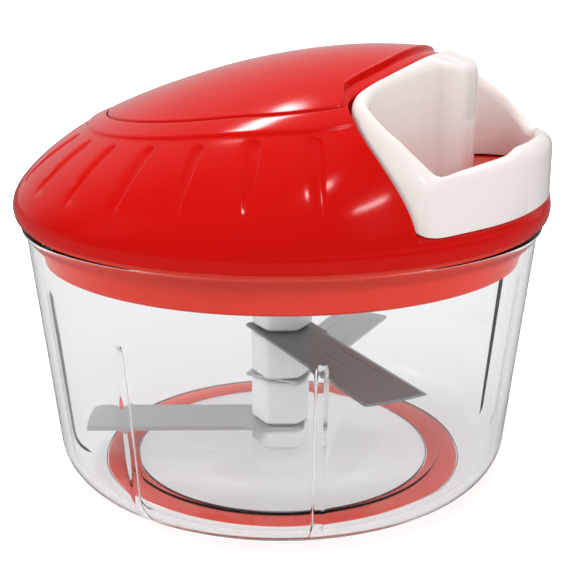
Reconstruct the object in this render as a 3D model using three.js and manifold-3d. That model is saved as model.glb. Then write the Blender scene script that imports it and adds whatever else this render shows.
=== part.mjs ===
// A pull-cord food chopper in millimetres, +Z up, standing on z = 0 with the blade axis as its Z axis.
// The handle is pulled out along +X; the cord turns a reel, and the reel turns the three blades.
import * as THREE from "three";
import { mergeVertices } from "three/addons/utils/BufferGeometryUtils.js";
import Module from "manifold-3d";

const wasm = await Module();
wasm.setup();

// Gaps and cuts
const seatGap = 0.3;
const runningGap = 0.6;
const cutOverrun = 1;

// Bowl
const bowlHeight = 62.4;
const bowlWallRimRadius = 60.15;
const bowlWallFootRadius = 53.7;
const bowlWall = 2;
const bowlFloor = 2;
const bowlFillet = 9.6;
const bowlLip = 0.85;
const bowlLipHeight = 2.6;
const floorPadInset = 5.3;
const floorPadRise = 0.4;
const ribWidth = 2.7;
const ribFootProud = 0.6;
const ribHeadProud = 1.2;
const ribTop = 44.8;
const ribEndTaper = 2;
const ribShoulderShare = 0.7;
const ribStep = THREE.MathUtils.degToRad(45);
const ribGroupAngle = THREE.MathUtils.degToRad(80);
const ribsInGroup = 3;
const ribGroups = 2;

// Anti-slip ring under the bowl
const ringWidth = 7.5;
const ringProud = 0.4;
const ringGroove = 0.8;
const ringLipWidth = 1.2;

// Pivot pin, hub and blades
const pinRadius = 2.5;
const pinHeight = 11;
const pinSeat = 1.2;
const hubFlats = 13.8;
const hubCornerRound = 2.2;
const hubFootGap = 0.5;
const hubAngle = THREE.MathUtils.degToRad(-63);
const hubPostRadius = 4.3;
const hubTopFlats = 13.2;
const collarChamfer = 0.7;
const bladeThickness = 0.6;
const bladeWidth = 15;
const bladeRootBack = 5.3;
const bladeBevel = 1.3;
const bevelDepthShare = 0.7;
const bevelStartShare = 0.68;
const lowerBladeRise = 6.6;
const bladeSpacing = 12.1;
const bladeTipGap = 0.4;
const lowerBladeInset = 3.7;
const lowerBladeAngle = THREE.MathUtils.degToRad(207);
const middleBladeAngle = THREE.MathUtils.degToRad(90.4);
const upperBladeAngle = THREE.MathUtils.degToRad(-36.4);
const dogFlats = 4.6;
const dogDepth = 7;

// Lid base: a dish whose skirt drops into the bowl
const sealGap = 0.45;
const skirtDepth = 8.8;
const skirtWall = 1.8;
const skirtChamfer = 0.6;
const flangeOverhang = 0.75;
const flangeThickness = 1.6;
const platePlane = 2;
const sealSection = 1.2;
const sealHeight = 1.6;

// Dome, with its shoulder band, top panel, flutes and handle notch
const domeOverhang = 1.5;
const domeEdgeInset = 0.8;
const domeEdgeHeight = 2.7;
const domeLip = 0.8;
const domeRise = 34.2;
const domeWall = 2;
const bandRise = 0.5;
const bandWidth = 4;
const bandSlope = 0.7;
const panelSeatRadius = 40.2;
const panelRecess = 1.8;
const panelEdgeRound = 0.9;
const axleBossRadius = 6.5;
const fluteStep = THREE.MathUtils.degToRad(13.8);
const plainStep = THREE.MathUtils.degToRad(7);
const flutesEachSide = 9;
const fluteWidth = 4.2;
const fluteDepth = 0.6;
const fluteTopGap = 2.4;
const fluteFootInset = 2.5;
const ledgeHeight = 1.1;
const notchFloorRise = 5.5;
const notchSlopeWidth = 5;
const notchGap = 0.8;
const noseOverrun = 6;

// Pull handle
const handleRear = 37.1;
const handleFrontInset = 0.5;
const handleHalfWidth = 37.6;
const handleFrontAngle = THREE.MathUtils.degToRad(34.8);
const handleWall = 4;
const handleRimProud = 0.5;
const handleEdgeRound = 1.6;
const handleCrown = 1.6;

// Drive: spindle, bush, ratchet ring and pawls
const bushRadius = 8;
const bushFlange = 10;
const bushFlangeThickness = 1;
const journalRadius = 5.2;
const spindleDiscLedge = 0.4;
const spindleDiscThickness = 1.6;
const ratchetOuterRadius = 18;
const ratchetRootRadius = 15.4;
const ratchetTipRadius = 13.6;
const ratchetHeight = 4.6;
const ratchetTeeth = 12;
const ratchetFaceAngle = THREE.MathUtils.degToRad(39.4);
const ratchetFaceLean = THREE.MathUtils.degToRad(7);
const pawlPinCircle = 10.6;
const pawlPinRadius = 1;
const pawlThickness = 3;
const pawlEyeRadius = 2.1;
const pawlTailWidth = 1.7;
const pawlLead = THREE.MathUtils.degToRad(34);
const pawlTurns = [0, Math.PI];
const washerRadius = 6;
const washerThickness = 0.6;

// Reel, cord, spring and axle
const axleRadius = 2.5;
const reelSleeveRadius = 5;
const reelCarrierRadius = 14;
const reelCarrierThickness = 1.8;
const reelNeckRadius = 6.4;
const reelFlangeRadius = 23;
const reelFlangeThickness = 1.3;
const drumRadius = 17;
const drumWall = 2;
const reelGrooveHeight = 4.4;
const cordRadius = 1.1;
const cordLayers = 2;
const cordRise = 16.7;
const cordBend = 3.3;
const arborWall = 1.4;
const springTurns = 5;
const springThickness = 0.5;
const springCoverThickness = 1;
const guideRadius = 3.2;
const guideLength = 3.4;
const guideFlange = 4.2;
const guideFlangeThickness = 0.9;
const knotRadius = 2.6;
const knotLength = 3;
const knotBack = 1.3;

// Screws that hold the dome to the lid base
const screwInset = 12.2;
const screwAngles = [65, 140, 220, 295].map(THREE.MathUtils.degToRad);
const screwShankRadius = 1.5;
const screwHeadRadius = 3;
const screwHeadHeight = 1.1;
const screwLength = 12;
const screwPostRadius = 3.6;
const screwPitRim = 1.4;

// Radii and heights worked out from the sizes above
const bowlFlatRadius = bowlWallFootRadius - bowlFillet;
const ringOuterRadius = bowlFlatRadius - seatGap;
const ringInnerRadius = ringOuterRadius - ringWidth;
const floorPadRadius = bowlFlatRadius - floorPadInset;
const sealRadius = bowlWallRimRadius - bowlWall - sealGap;
const skirtRadius = sealRadius - sealSection - seatGap;
const flangeReach = bowlWallRimRadius + flangeOverhang;
const screwCircle = skirtRadius - screwInset;
const domeRadius = bowlWallRimRadius + bowlLip + domeOverhang;
const domeEdgeRadius = domeRadius - domeEdgeInset;
const fluteTopRadius = panelSeatRadius + bandWidth + fluteTopGap;
const fluteFootRadius = domeRadius - fluteFootInset;
const handleFrontRadius = domeRadius - handleFrontInset;
const spindleDiscRadius = ratchetOuterRadius + spindleDiscLedge;
const pawlTipRadius = (ratchetRootRadius + ratchetTipRadius) / 2;
const footZ = ringProud;
const floorZ = footZ + bowlFloor;
const padZ = floorZ + floorPadRise;
const rimZ = footZ + bowlHeight;
const flangeZ = rimZ + seatGap;
const skirtZ = flangeZ - skirtDepth;
const plateZ = skirtZ + platePlane;
const domeEdgeZ = flangeZ + flangeThickness + seatGap;
const domeBaseZ = domeEdgeZ + domeEdgeHeight;
const notchFloorEdgeZ = domeBaseZ + ledgeHeight;
const notchFloorZ = domeBaseZ + notchFloorRise;
const domeTopZ = domeBaseZ + domeRise + bandRise;
const hubFootZ = padZ + hubFootGap;
const lowerBladeZ = padZ + lowerBladeRise;
const middleBladeZ = lowerBladeZ + bladeSpacing;
const upperBladeZ = middleBladeZ + bladeSpacing;
const hubTopZ = skirtZ - runningGap;
// The bowl's wall outside, the ribs' depth, and each blade's reach, which clears the ribs.
const bowlTaper = Math.atan((bowlWallRimRadius - bowlWallFootRadius) / bowlHeight);
const bowlRadius = (z) => bowlWallFootRadius + (z - footZ) * Math.tan(bowlTaper);
const ribProud = (z) => THREE.MathUtils.lerp(ribFootProud, ribHeadProud, (z - footZ) / ribTop);
const clearReach = (z) => bowlRadius(z - bladeThickness) - bowlWall - ribProud(z) - bladeTipGap;
const lowerBladeReach = bowlRadius(lowerBladeZ) - bowlWall - lowerBladeInset;
const middleBladeReach = clearReach(middleBladeZ);
const upperBladeReach = clearReach(upperBladeZ) - bladeTipGap;
const discZ = plateZ + bushFlangeThickness + seatGap;
const ratchetZ = discZ + spindleDiscThickness + seatGap;
const washerTopZ = discZ + spindleDiscThickness + seatGap + washerThickness;
const carrierZ = ratchetZ + ratchetHeight + runningGap;
const cordZ = domeBaseZ + cordRise;
const grooveZ = cordZ - reelGrooveHeight / 2;
const reelTopZ = grooveZ + reelGrooveHeight + reelFlangeThickness;
const arborRadius = axleRadius + arborWall + seatGap;
const winding = cordLayers * 2 * cordRadius;
const axleLowZ = skirtZ + platePlane;
const axleTopZ = reelTopZ + 3 * domeWall;

// How round the pieces are
const roundSides = 44;
const middleSides = 30;
const smallSides = 14;
const cordSides = 8;
const cordSteps = 16;

// Colours
const lidRed = { color: 0xd8160e, roughness: 0.22, metalness: 0 };
const softRed = { color: 0xc03a30, roughness: 0.6, metalness: 0 };
const clearPlastic = { color: 0xe6e9ea, roughness: 0.08, metalness: 0, transparent: true, opacity: 0.3 };
const handleWhite = { color: 0xefe4df, roughness: 0.25, metalness: 0 };
const hubWhite = { color: 0xd8dadb, roughness: 0.45, metalness: 0 };
const steel = { color: 0xa9abad, roughness: 0.3, metalness: 1 };
const darkPlastic = { color: 0x4a4c50, roughness: 0.5, metalness: 0 };
const cordGrey = { color: 0xcfcac2, roughness: 0.8, metalness: 0 };

const TAU = 2 * Math.PI;

// A geometry as a solid: vertices merged, empty triangles dropped, faces turned outwards.
function solid(geometry) {
  const bare = geometry.clone();
  for (const name of ["normal", "uv"]) bare.deleteAttribute(name);
  const merged = mergeVertices(bare, 1e-4);
  const points = merged.attributes.position.array;
  const index = merged.index.array;
  const triangles = [];
  let volume = 0;
  for (let i = 0; i < index.length; i += 3) {
    const [a, b, c] = index.slice(i, i + 3);
    if (a === b || b === c || c === a) continue;
    triangles.push(a, b, c);
    const [p, q, r] = [a, b, c].map((n) => new THREE.Vector3().fromArray(points, 3 * n));
    volume += p.dot(q.cross(r));
  }
  if (volume < 0) triangles.reverse();
  const mesh = new wasm.Mesh({ numProp: 3, vertProperties: points, triVerts: new Uint32Array(triangles) });
  return new wasm.Manifold(mesh);
}

// A solid as a geometry that a mesh can hold.
function geometryOf(body) {
  const { vertProperties, triVerts } = body.getMesh();
  const geometry = new THREE.BufferGeometry();
  geometry.setAttribute("position", new THREE.BufferAttribute(new Float32Array(vertProperties), 3));
  geometry.setIndex(new THREE.BufferAttribute(new Uint32Array(triVerts), 1));
  geometry.computeVertexNormals();
  return geometry;
}

// A body turned about the Z axis from [radius, z] points, closed on itself.
function turned(profile, sides = middleSides) {
  const points = [...profile, profile[0]].map(([r, z]) => new THREE.Vector2(r, z));
  return solid(new THREE.LatheGeometry(points, sides).rotateX(Math.PI / 2));
}

// A flat ring or disc between two radii and two heights.
function turnedRing(inner, outer, low, high, sides = middleSides) {
  return turned([[inner, low], [outer, low], [outer, high], [inner, high]], sides);
}

// A round peg between two heights, which also drills a hole.
function peg(radius, low, high, [x, y] = [0, 0]) {
  return turnedRing(0, radius, low, high, smallSides).translate([x, y, 0]);
}

// A prism of an [x, y] outline, with holes, between two heights.
function prism(outline, low, high, holes = []) {
  const shape = new THREE.Shape(outline.map(([x, y]) => new THREE.Vector2(x, y)));
  for (const hole of holes) shape.holes.push(new THREE.Path(hole.map(([x, y]) => new THREE.Vector2(x, y))));
  const geometry = new THREE.ExtrudeGeometry(shape, { depth: high - low, bevelEnabled: false });
  return solid(geometry.translate(0, 0, low));
}

// A closed body through rings of points, from the first ring's middle to the last one's.
function skinned(rings) {
  const sides = rings[0].length;
  const points = [];
  const index = [];
  const add = (p) => points.push(p.x, p.y, p.z) / 3 - 1;
  const middle = (ring) => ring.reduce((sum, p) => sum.add(p), new THREE.Vector3()).divideScalar(sides);
  const first = add(middle(rings[0]));
  const starts = rings.map((ring) => ring.map(add)[0]);
  const last = add(middle(rings.at(-1)));
  for (let i = 0; i < sides; i++) {
    const j = (i + 1) % sides;
    index.push(first, starts[0] + j, starts[0] + i);
    for (let k = 0; k + 1 < rings.length; k++) {
      const [a, b] = [starts[k], starts[k + 1]];
      index.push(a + i, a + j, b + j, a + i, b + j, b + i);
    }
    index.push(last, starts.at(-1) + i, starts.at(-1) + j);
  }
  return solid(indexed(points, index));
}

// A closed loop of sections, each a closed ring of points, such as a handle's wall.
function looped(sections) {
  const sides = sections[0].length;
  const points = sections.flat().flatMap((p) => [p.x, p.y, p.z]);
  const index = [];
  for (let k = 0; k < sections.length; k++) {
    const next = ((k + 1) % sections.length) * sides;
    for (let i = 0; i < sides; i++) {
      const j = (i + 1) % sides;
      index.push(k * sides + i, next + i, next + j, k * sides + i, next + j, k * sides + j);
    }
  }
  return solid(indexed(points, index));
}

function indexed(points, index) {
  const geometry = new THREE.BufferGeometry();
  geometry.setAttribute("position", new THREE.Float32BufferAttribute(points, 3));
  return geometry.setIndex(index);
}

// A polar point, and a rounded polygon with a given distance across its flats.
const polar = (radius, angle) => [radius * Math.cos(angle), radius * Math.sin(angle)];

function roundedHexagon(flats, round, angle) {
  const corners = 6;
  const cornerSteps = 3;
  const reach = (flats / 2 - round) / Math.cos(Math.PI / corners);
  const outline = [];
  for (let n = 0; n < corners; n++) {
    const middle = angle + ((n + 0.5) * TAU) / corners;
    const [x, y] = polar(reach, middle);
    for (let s = 0; s <= cornerSteps; s++) {
      const [dx, dy] = polar(round, middle + (s / cornerSteps - 0.5) * (TAU / corners));
      outline.push([x + dx, y + dy]);
    }
  }
  return outline;
}

const circle = (radius, sides = smallSides, x = 0, y = 0) =>
  Array.from({ length: sides }, (_, n) => polar(radius, (n * TAU) / sides)).map(([a, b]) => [x + a, y + b]);

const screwPlaces = screwAngles.map((angle) => polar(screwCircle, angle));

// A cylinder along +X from x1 to x2, at a height above the base.
function rodAlongX(radius, x1, x2, z, sides = smallSides) {
  const geometry = new THREE.CylinderGeometry(radius, radius, x2 - x1, sides);
  return solid(geometry.rotateZ(Math.PI / 2).translate((x1 + x2) / 2, 0, z));
}

// The height of the dome's crest above its base, in shares of the dome's rise, at shares of its radius.
const crestShares = [
  [-1, 0], [-0.96, 0.132], [-0.88, 0.263], [-0.8, 0.374], [-0.704, 0.485], [-0.64, 0.538],
  [-0.48, 0.658], [-0.32, 0.76], [-0.16, 0.848], [0, 0.915], [0.16, 0.965], [0.32, 0.994],
  [0.48, 1], [0.576, 0.988], [0.72, 0.877], [0.88, 0.556], [1, 0],
];

// A smooth curve through a table of [place, value] shares.
function alongTable(table, place) {
  const last = table.length - 2;
  const found = table.findIndex(([x], n) => n > 0 && place <= x) - 1;
  const n = found < 0 ? (place <= table[0][0] ? 0 : last) : found;
  const [x0, y0] = table[n];
  const [x1, y1] = table[n + 1];
  const slope = (a, b) => (table[b][1] - table[a][1]) / (table[b][0] - table[a][0]);
  const m0 = n > 0 ? slope(n - 1, n + 1) : slope(0, 1);
  const m1 = n < last ? slope(n, n + 2) : slope(last, last + 1);
  const w = x1 - x0;
  const t = THREE.MathUtils.clamp((place - x0) / w, 0, 1);
  const [t2, t3] = [t * t, t * t * t];
  return (2 * t3 - 3 * t2 + 1) * y0 + (t3 - 2 * t2 + t) * w * m0 + (3 * t2 - 2 * t3) * y1 + (t3 - t2) * w * m1;
}

// The dome's smooth outside: across the crest it falls to the base circle as a full, rounded arch.
const archPower = 0.7;
function domeHeight(x, y) {
  const u = THREE.MathUtils.clamp(x / domeRadius, -1, 1);
  const halfSpan = Math.sqrt(Math.max(1 - u * u, 0)) * domeRadius;
  const across = halfSpan > 0 ? Math.min((y / halfSpan) ** 2, 1) : 1;
  return domeBaseZ + domeRise * alongTable(crestShares, u) * (1 - across) ** archPower;
}

// The top panel's reach from the axis, in shares of its plain radius, against the turn from +X in half turns.
const panelReachShares = [[0, 1.1], [0.24, 1.1], [0.28, 1.085], [0.34, 1.05], [0.42, 1.01], [0.5, 1], [1, 1]];
function panelReach(angle) {
  const turn = Math.abs(Math.atan2(Math.sin(angle), Math.cos(angle))) / Math.PI;
  return panelSeatRadius * alongTable(panelReachShares, turn);
}

// Half of the handle's outside and of its opening, from the rear middle to the front corner, point by point:
// shares of its length along X and of its half width. An arc about the blade axis joins the front corners.
const outsideShares = [
  [0, 0], [-0.004, 0.096], [-0.012, 0.17], [-0.028, 0.253], [-0.06, 0.386], [-0.133, 0.545], [-0.221, 0.686],
  [-0.255, 0.766], [-0.213, 0.851], [-0.076, 0.931], [0.096, 0.981], [0.277, 1], [0.454, 0.989], [0.554, 0.941],
];
const openingShares = [
  [0.345, 0], [0.325, 0.135], [0.23, 0.205], [0.125, 0.245], [0.072, 0.359], [-0.02, 0.521], [-0.108, 0.652],
  [-0.133, 0.726], [-0.092, 0.809], [-0.004, 0.862], [0.141, 0.892], [0.297, 0.886], [0.446, 0.843],
  [0.574, 0.8],
];
const outsideArcShares = [0.816, 0.546, 0.273, 0];
const openingArcShares = [0.73, 0.503, 0.25, 0];

// A handle loop as a closed curve, clockwise from the rear middle.
function handleLoop(shares, arcShares, arcRadius) {
  const length = handleFrontRadius - handleRear;
  const bent = shares.map(([a, b]) => [handleRear + a * length, b * handleHalfWidth]);
  const half = [...bent, ...arcShares.map((share) => polar(arcRadius, share * handleFrontAngle))];
  const mirrored = half.slice(1, -1).reverse().map(([x, y]) => [x, -y]);
  const points = [...half, ...mirrored].map(([x, y]) => new THREE.Vector3(x, y, 0));
  return new THREE.CatmullRomCurve3(points, true, "centripetal");
}

const outsideLoop = handleLoop(outsideShares, outsideArcShares, handleFrontRadius);
const openingLoop = handleLoop(openingShares, openingArcShares, handleFrontRadius - handleWall);
const handleStations = 2 * outsideLoop.points.length;

// Points along a loop, moved outwards by a distance.
function loopPoints(loop, grow = 0) {
  return Array.from({ length: handleStations }, (_, n) => {
    const point = loop.getPoint(n / handleStations);
    const along = loop.getTangent(n / handleStations);
    return point.add(new THREE.Vector3(-along.y, along.x, 0).multiplyScalar(grow));
  });
}

// The handle's outline grown outwards as far as it widens, then straight out past the lid's edge.
function notchOutline(grow) {
  const half = loopPoints(outsideLoop, grow).slice(0, handleStations / 2);
  const widest = half.reduce((best, p, n) => (p.y > half[best].y ? n : best), 0);
  const rear = half.slice(0, widest + 1).map((p) => [p.x, p.y]);
  const wide = half[widest].y;
  const reach = domeRadius + noseOverrun;
  return [...rear, [reach, wide], [reach, -wide], ...rear.slice(1).reverse().map(([x, y]) => [x, -y])];
}

// The space above the notch floor inside an outline; growing it moves the walls out and the floor down.
// The floor is level, and past a bend it slopes down to the lid's edge.
function notchSpace(grow) {
  const low = domeEdgeZ - cutOverrun;
  const tall = prism(notchOutline(notchGap + grow), low, domeTopZ + cutOverrun);
  const bend = domeRadius - notchSlopeWidth;
  const below = turned([
    [0, low - cutOverrun], [domeRadius + handleHalfWidth, low - cutOverrun],
    [domeRadius + handleHalfWidth, notchFloorEdgeZ - grow], [domeRadius, notchFloorEdgeZ - grow],
    [bend, notchFloorZ - grow], [0, notchFloorZ - grow],
  ], roundSides);
  return tall.subtract(below);
}

// The angles of the dome's columns: three to a flute, and an even spread over the notch side.
function domeColumns() {
  const edge = fluteWidth / (fluteTopRadius + fluteFootRadius);
  const columns = [];
  for (let n = -flutesEachSide; n <= flutesEachSide; n++) {
    const middle = Math.PI + n * fluteStep;
    columns.push({ angle: middle - edge, flute: 0 });
    columns.push({ angle: middle, flute: 1 });
    columns.push({ angle: middle + edge, flute: 0 });
  }
  const start = columns.at(-1).angle;
  const span = columns[0].angle + TAU - start;
  const steps = Math.round(span / plainStep);
  for (let n = 1; n < steps; n++) columns.push({ angle: start + (span * n) / steps, flute: 0 });
  return columns;
}

// The rings of the dome's crown, in shares of the panel's reach.
const crownShares = [0.35, 0.65, 0.88];

// A ring of points on the dome, at a reach for each angle, moved up or down, and sunk in the flutes.
function domeRing(columns, reachAt, rise, fluteShare = 0) {
  return columns.map(({ angle, flute }) => {
    const [x, y] = polar(reachAt(angle), angle);
    return new THREE.Vector3(x, y, domeHeight(x, y) + rise - flute * fluteShare * fluteDepth);
  });
}

// The dome's outside: the panel's recess, a raised band round it, the flutes and the edge.
function domeOutside() {
  const columns = domeColumns();
  const edgeShares = [0.985, 1];
  const fluteRowShares = [[0, 0], [0.12, 1], [0.7, 1], [1, 0]];
  const past = (extra) => (angle) => panelReach(angle) + extra;
  const belowBand = past(bandWidth + 2 * bandSlope);
  const fluteRow = (share) => (angle) =>
    Math.max(THREE.MathUtils.lerp(fluteTopRadius, fluteFootRadius, share), belowBand(angle));
  const level = (radius, z) => columns.map(({ angle }) => new THREE.Vector3(...polar(radius, angle), z));
  return skinned([
    ...crownShares.map((share) => domeRing(columns, (a) => share * past(seatGap)(a), -panelRecess)),
    domeRing(columns, past(seatGap), -panelRecess),
    domeRing(columns, past(seatGap), bandRise - bandSlope / 2),
    domeRing(columns, past(seatGap + bandSlope), bandRise),
    domeRing(columns, past(bandWidth), bandRise),
    domeRing(columns, past(bandWidth + bandSlope), 0),
    ...fluteRowShares.map(([share, depth]) => domeRing(columns, fluteRow(share), 0, depth)),
    ...edgeShares.map((share) => domeRing(columns, () => share * domeRadius, 0)),
    level((domeRadius + domeEdgeRadius) / 2, (domeBaseZ + domeEdgeZ) / 2),
    level(domeEdgeRadius, domeEdgeZ),
  ]);
}

// The dome's inside, a wall's thickness in from the outside and from the notch.
function domeInside() {
  const columns = Array.from({ length: middleSides }, (_, n) => (n * TAU) / middleSides);
  const innerShares = [0.25, 0.5, 0.7, 0.85, 0.94, 0.98];
  const underPanel = panelSeatRadius + bandWidth;
  const ring = (share) =>
    columns.map((angle) => {
      const [x, y] = polar(share * domeRadius, angle);
      const deep = domeWall + seatGap + (share * domeRadius < underPanel ? panelRecess : 0);
      return new THREE.Vector3(...polar(share * (domeRadius - domeWall), angle), domeHeight(x, y) - deep);
    });
  const low = ring(innerShares.at(-1)).map((p) => p.setZ(domeEdgeZ - cutOverrun));
  return skinned([...innerShares.map(ring), low]).subtract(notchSpace(domeWall));
}

// The lid's dome: a shell with four screw posts and a boss for the reel's axle.
function makeDome() {
  const body = domeOutside().subtract(notchSpace(0));
  const bossLow = reelTopZ + springCoverThickness + runningGap;
  const posts = screwPlaces.map((place) => peg(screwPostRadius, plateZ + seatGap, domeTopZ, place));
  const boss = peg(axleBossRadius, bossLow, domeTopZ);
  const lipInside = flangeReach + seatGap;
  const lip = turnedRing(lipInside, domeEdgeRadius, domeEdgeZ - domeLip, domeEdgeZ + seatGap, roundSides);
  const belowRim = turnedRing(0, skirtRadius - skirtWall - runningGap, plateZ, domeEdgeZ + seatGap);
  const hung = posts.reduce((all, one) => all.add(one), boss).intersect(body.add(belowRim));
  let dome = body.subtract(domeInside()).add(hung).add(lip);
  for (const place of screwPlaces)
    dome = dome.subtract(peg(screwShankRadius + seatGap, plateZ, skirtZ + screwLength + seatGap, place));
  const axleHole = peg(axleRadius + seatGap, bossLow - cutOverrun, axleTopZ + seatGap);
  const guideHole = rodAlongX(guideRadius + seatGap, reelFlangeRadius + guideLength, handleRear, cordZ);
  return dome.subtract(axleHole).subtract(guideHole);
}

// The panel over the dome's recess: crowned like the dome, with a rounded edge, and trimmed at the notch.
function makePanel() {
  const columns = Array.from({ length: roundSides }, (_, n) => ({ angle: (n * TAU) / roundSides, flute: 0 }));
  const topRing = (share, inset, down) =>
    domeRing(columns, (a) => share * panelReach(a) - inset, bandRise - down);
  const lowRing = (share) => domeRing(columns, (a) => share * panelReach(a), 2 * seatGap - panelRecess);
  return skinned([
    ...crownShares.map((share) => topRing(share, 0, 0)),
    topRing(1, panelEdgeRound, panelEdgeRound / 8),
    topRing(1, panelEdgeRound / 4, panelEdgeRound / 2),
    topRing(1, 0, panelEdgeRound),
    lowRing(1),
    ...crownShares.toReversed().map(lowRing),
  ]).subtract(notchSpace(0));
}

// The bowl: a tapered wall on a large fillet, a floor with a raised pad, a lip, and ribs inside.
function makeBowl() {
  const filletSteps = 5;
  const filletArc = (radius, lowest, inset) => {
    const z = lowest + radius;
    const r = bowlRadius(z) - inset - radius / Math.cos(bowlTaper);
    return Array.from({ length: filletSteps + 1 }, (_, n) => {
      const angle = -Math.PI / 2 + ((Math.PI / 2 - bowlTaper) * n) / filletSteps;
      return [r + radius * Math.cos(angle), z + radius * Math.sin(angle)];
    });
  };
  const grooveOuter = ringOuterRadius + seatGap;
  const grooveInner = ringInnerRadius - seatGap;
  const lip = bowlRadius(rimZ) + bowlLip;
  const lipLow = rimZ - bowlLipHeight;
  const profile = [
    [0, footZ], [grooveInner, footZ], [grooveInner, footZ + ringGroove], [grooveOuter, footZ + ringGroove],
    [grooveOuter, footZ],
    ...filletArc(bowlFillet, footZ, 0),
    [bowlRadius(lipLow), lipLow], [lip, lipLow + bowlLip * 2],
    [lip, rimZ - bowlLip / 2], [lip - bowlLip / 2, rimZ],
    [bowlRadius(rimZ) - bowlWall, rimZ],
    ...filletArc(bowlFillet - bowlWall, floorZ, bowlWall / Math.cos(bowlTaper)).reverse(),
    [floorPadRadius + floorPadRise, floorZ], [floorPadRadius, padZ], [pinRadius + seatGap, padZ],
    [pinRadius + seatGap, padZ - pinSeat], [0, padZ - pinSeat],
  ];
  let bowl = turned(profile, roundSides);

  const half = ribWidth / 2;
  const section = (z, share) => {
    const proud = share * ribProud(z);
    const inner = bowlRadius(z) - bowlWall - proud;
    const outer = bowlRadius(z) - bowlWall / 2;
    const edge = inner + ribFootProud / 2;
    const back = [[outer, -half], [outer, half], [edge, half]];
    const front = [[inner, half / 2], [inner, -half / 2], [edge, -half]];
    return [...back, ...front].map(([x, y]) => new THREE.Vector3(x, y, z));
  };
  const rib = skinned([
    section(floorZ - bowlFloor / 3, 1),
    section(footZ + ribTop - ribEndTaper, 1),
    section(footZ + ribTop - ribEndTaper / 4, ribShoulderShare),
    section(footZ + ribTop, 0),
  ]);
  const trim = turned([[0, floorZ - bowlFloor], [0, rimZ], [bowlRadius(rimZ) - bowlWall / 2, rimZ],
    ...filletArc(bowlFillet - bowlWall / 2, footZ + bowlFloor / 2, bowlWall / 2).reverse()], roundSides);
  for (let group = 0; group < ribGroups; group++)
    for (let n = 0; n < ribsInGroup; n++) {
      const angle = ribGroupAngle + (group * TAU) / ribGroups + (n - (ribsInGroup - 1) / 2) * ribStep;
      bowl = bowl.add(rib.intersect(trim).rotate([0, 0, THREE.MathUtils.radToDeg(angle)]));
    }
  return bowl;
}

function makeBaseRing() {
  const high = footZ + ringGroove - seatGap;
  const edge = ringLipWidth / 3;
  return turned([
    [ringInnerRadius + edge, 0], [ringOuterRadius - edge, 0], [ringOuterRadius, edge],
    [ringOuterRadius, high], [ringInnerRadius, high], [ringInnerRadius, edge],
  ], roundSides);
}

// A hexagonal collar round the hub's post, with its two ends chamfered.
function makeCollar(low, high, flats = hubFlats) {
  const ring = (inset, z) =>
    roundedHexagon(flats - 2 * inset, hubCornerRound, hubAngle).map(([x, y]) => new THREE.Vector3(x, y, z));
  const collar = skinned([
    ring(collarChamfer, low), ring(0, low + collarChamfer),
    ring(0, high - collarChamfer), ring(collarChamfer, high),
  ]);
  const bore = peg(hubPostRadius + seatGap, low - cutOverrun, high + cutOverrun);
  return collar.subtract(bore);
}

// The hub's core: the foot collar and the post that carries the blades, bored for the pin and the dog.
function makeHubCore() {
  const footTop = lowerBladeZ - bladeThickness - seatGap;
  const ring = (inset, z) =>
    roundedHexagon(hubFlats - 2 * inset, hubCornerRound, hubAngle).map(([x, y]) => new THREE.Vector3(x, y, z));
  const foot = skinned([
    ring(collarChamfer, hubFootZ), ring(0, hubFootZ + collarChamfer), ring(0, footTop - collarChamfer),
    ring(collarChamfer, footTop),
  ]);
  const post = peg(hubPostRadius, footTop - collarChamfer, hubTopZ);
  const pinBore = peg(pinRadius + seatGap, hubFootZ - cutOverrun, padZ + pinHeight + seatGap);
  const socketOutline = roundedHexagon(dogFlats + 2 * seatGap, seatGap, hubAngle);
  const socket = prism(socketOutline, hubTopZ - dogDepth - seatGap, hubTopZ + cutOverrun);
  return foot.add(post).subtract(pinBore).subtract(socket);
}

// A blade: a flat strip with a ground edge in front, its end cut on an arc, and a hole for the post.
function makeBlade(reach, top, angle) {
  const half = bladeWidth / 2;
  const low = top - bladeThickness;
  const arcSteps = 5;
  const tipAngle = Math.asin(half / reach);
  const arcPoint = (_, n) => polar(reach, tipAngle - (2 * tipAngle * n) / arcSteps);
  const arc = Array.from({ length: arcSteps + 1 }, arcPoint);
  const tailShares = [[0.75, -1], [1, -0.85], [1, 0.85], [0.75, 1]];
  const tail = tailShares.map(([a, b]) => [-a * bladeRootBack, b * half]);
  const strip = prism([...arc, ...tail], low, top);
  const edge = bladeThickness * bevelDepthShare;
  const wide = bladeBevel + cutOverrun;
  const square = [[0, 0], [wide, 0], [wide, wide], [0, wide]];
  const wedge = new THREE.Shape(square.map(([x, y]) => new THREE.Vector2(x, y)));
  const bar = new THREE.ExtrudeGeometry(wedge, { depth: reach, bevelEnabled: false });
  const slope = Math.atan2(edge, bladeBevel);
  bar.rotateX(Math.PI / 2).rotateZ(Math.PI / 2).rotateX(-slope);
  const place = bar.translate(hubFlats * bevelStartShare, half - bladeBevel, top);
  const hole = peg(hubPostRadius + seatGap, low - cutOverrun, top + cutOverrun);
  return strip.subtract(solid(place)).subtract(hole).rotate([0, 0, THREE.MathUtils.radToDeg(angle)]);
}

function makePin() {
  const low = padZ - pinSeat + seatGap;
  const high = padZ + pinHeight;
  const round = pinRadius / 2;
  const profile = [[0, low], [pinRadius, low], [pinRadius, high - round], [pinRadius - round, high], [0, high]];
  return turned(profile, smallSides);
}

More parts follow.
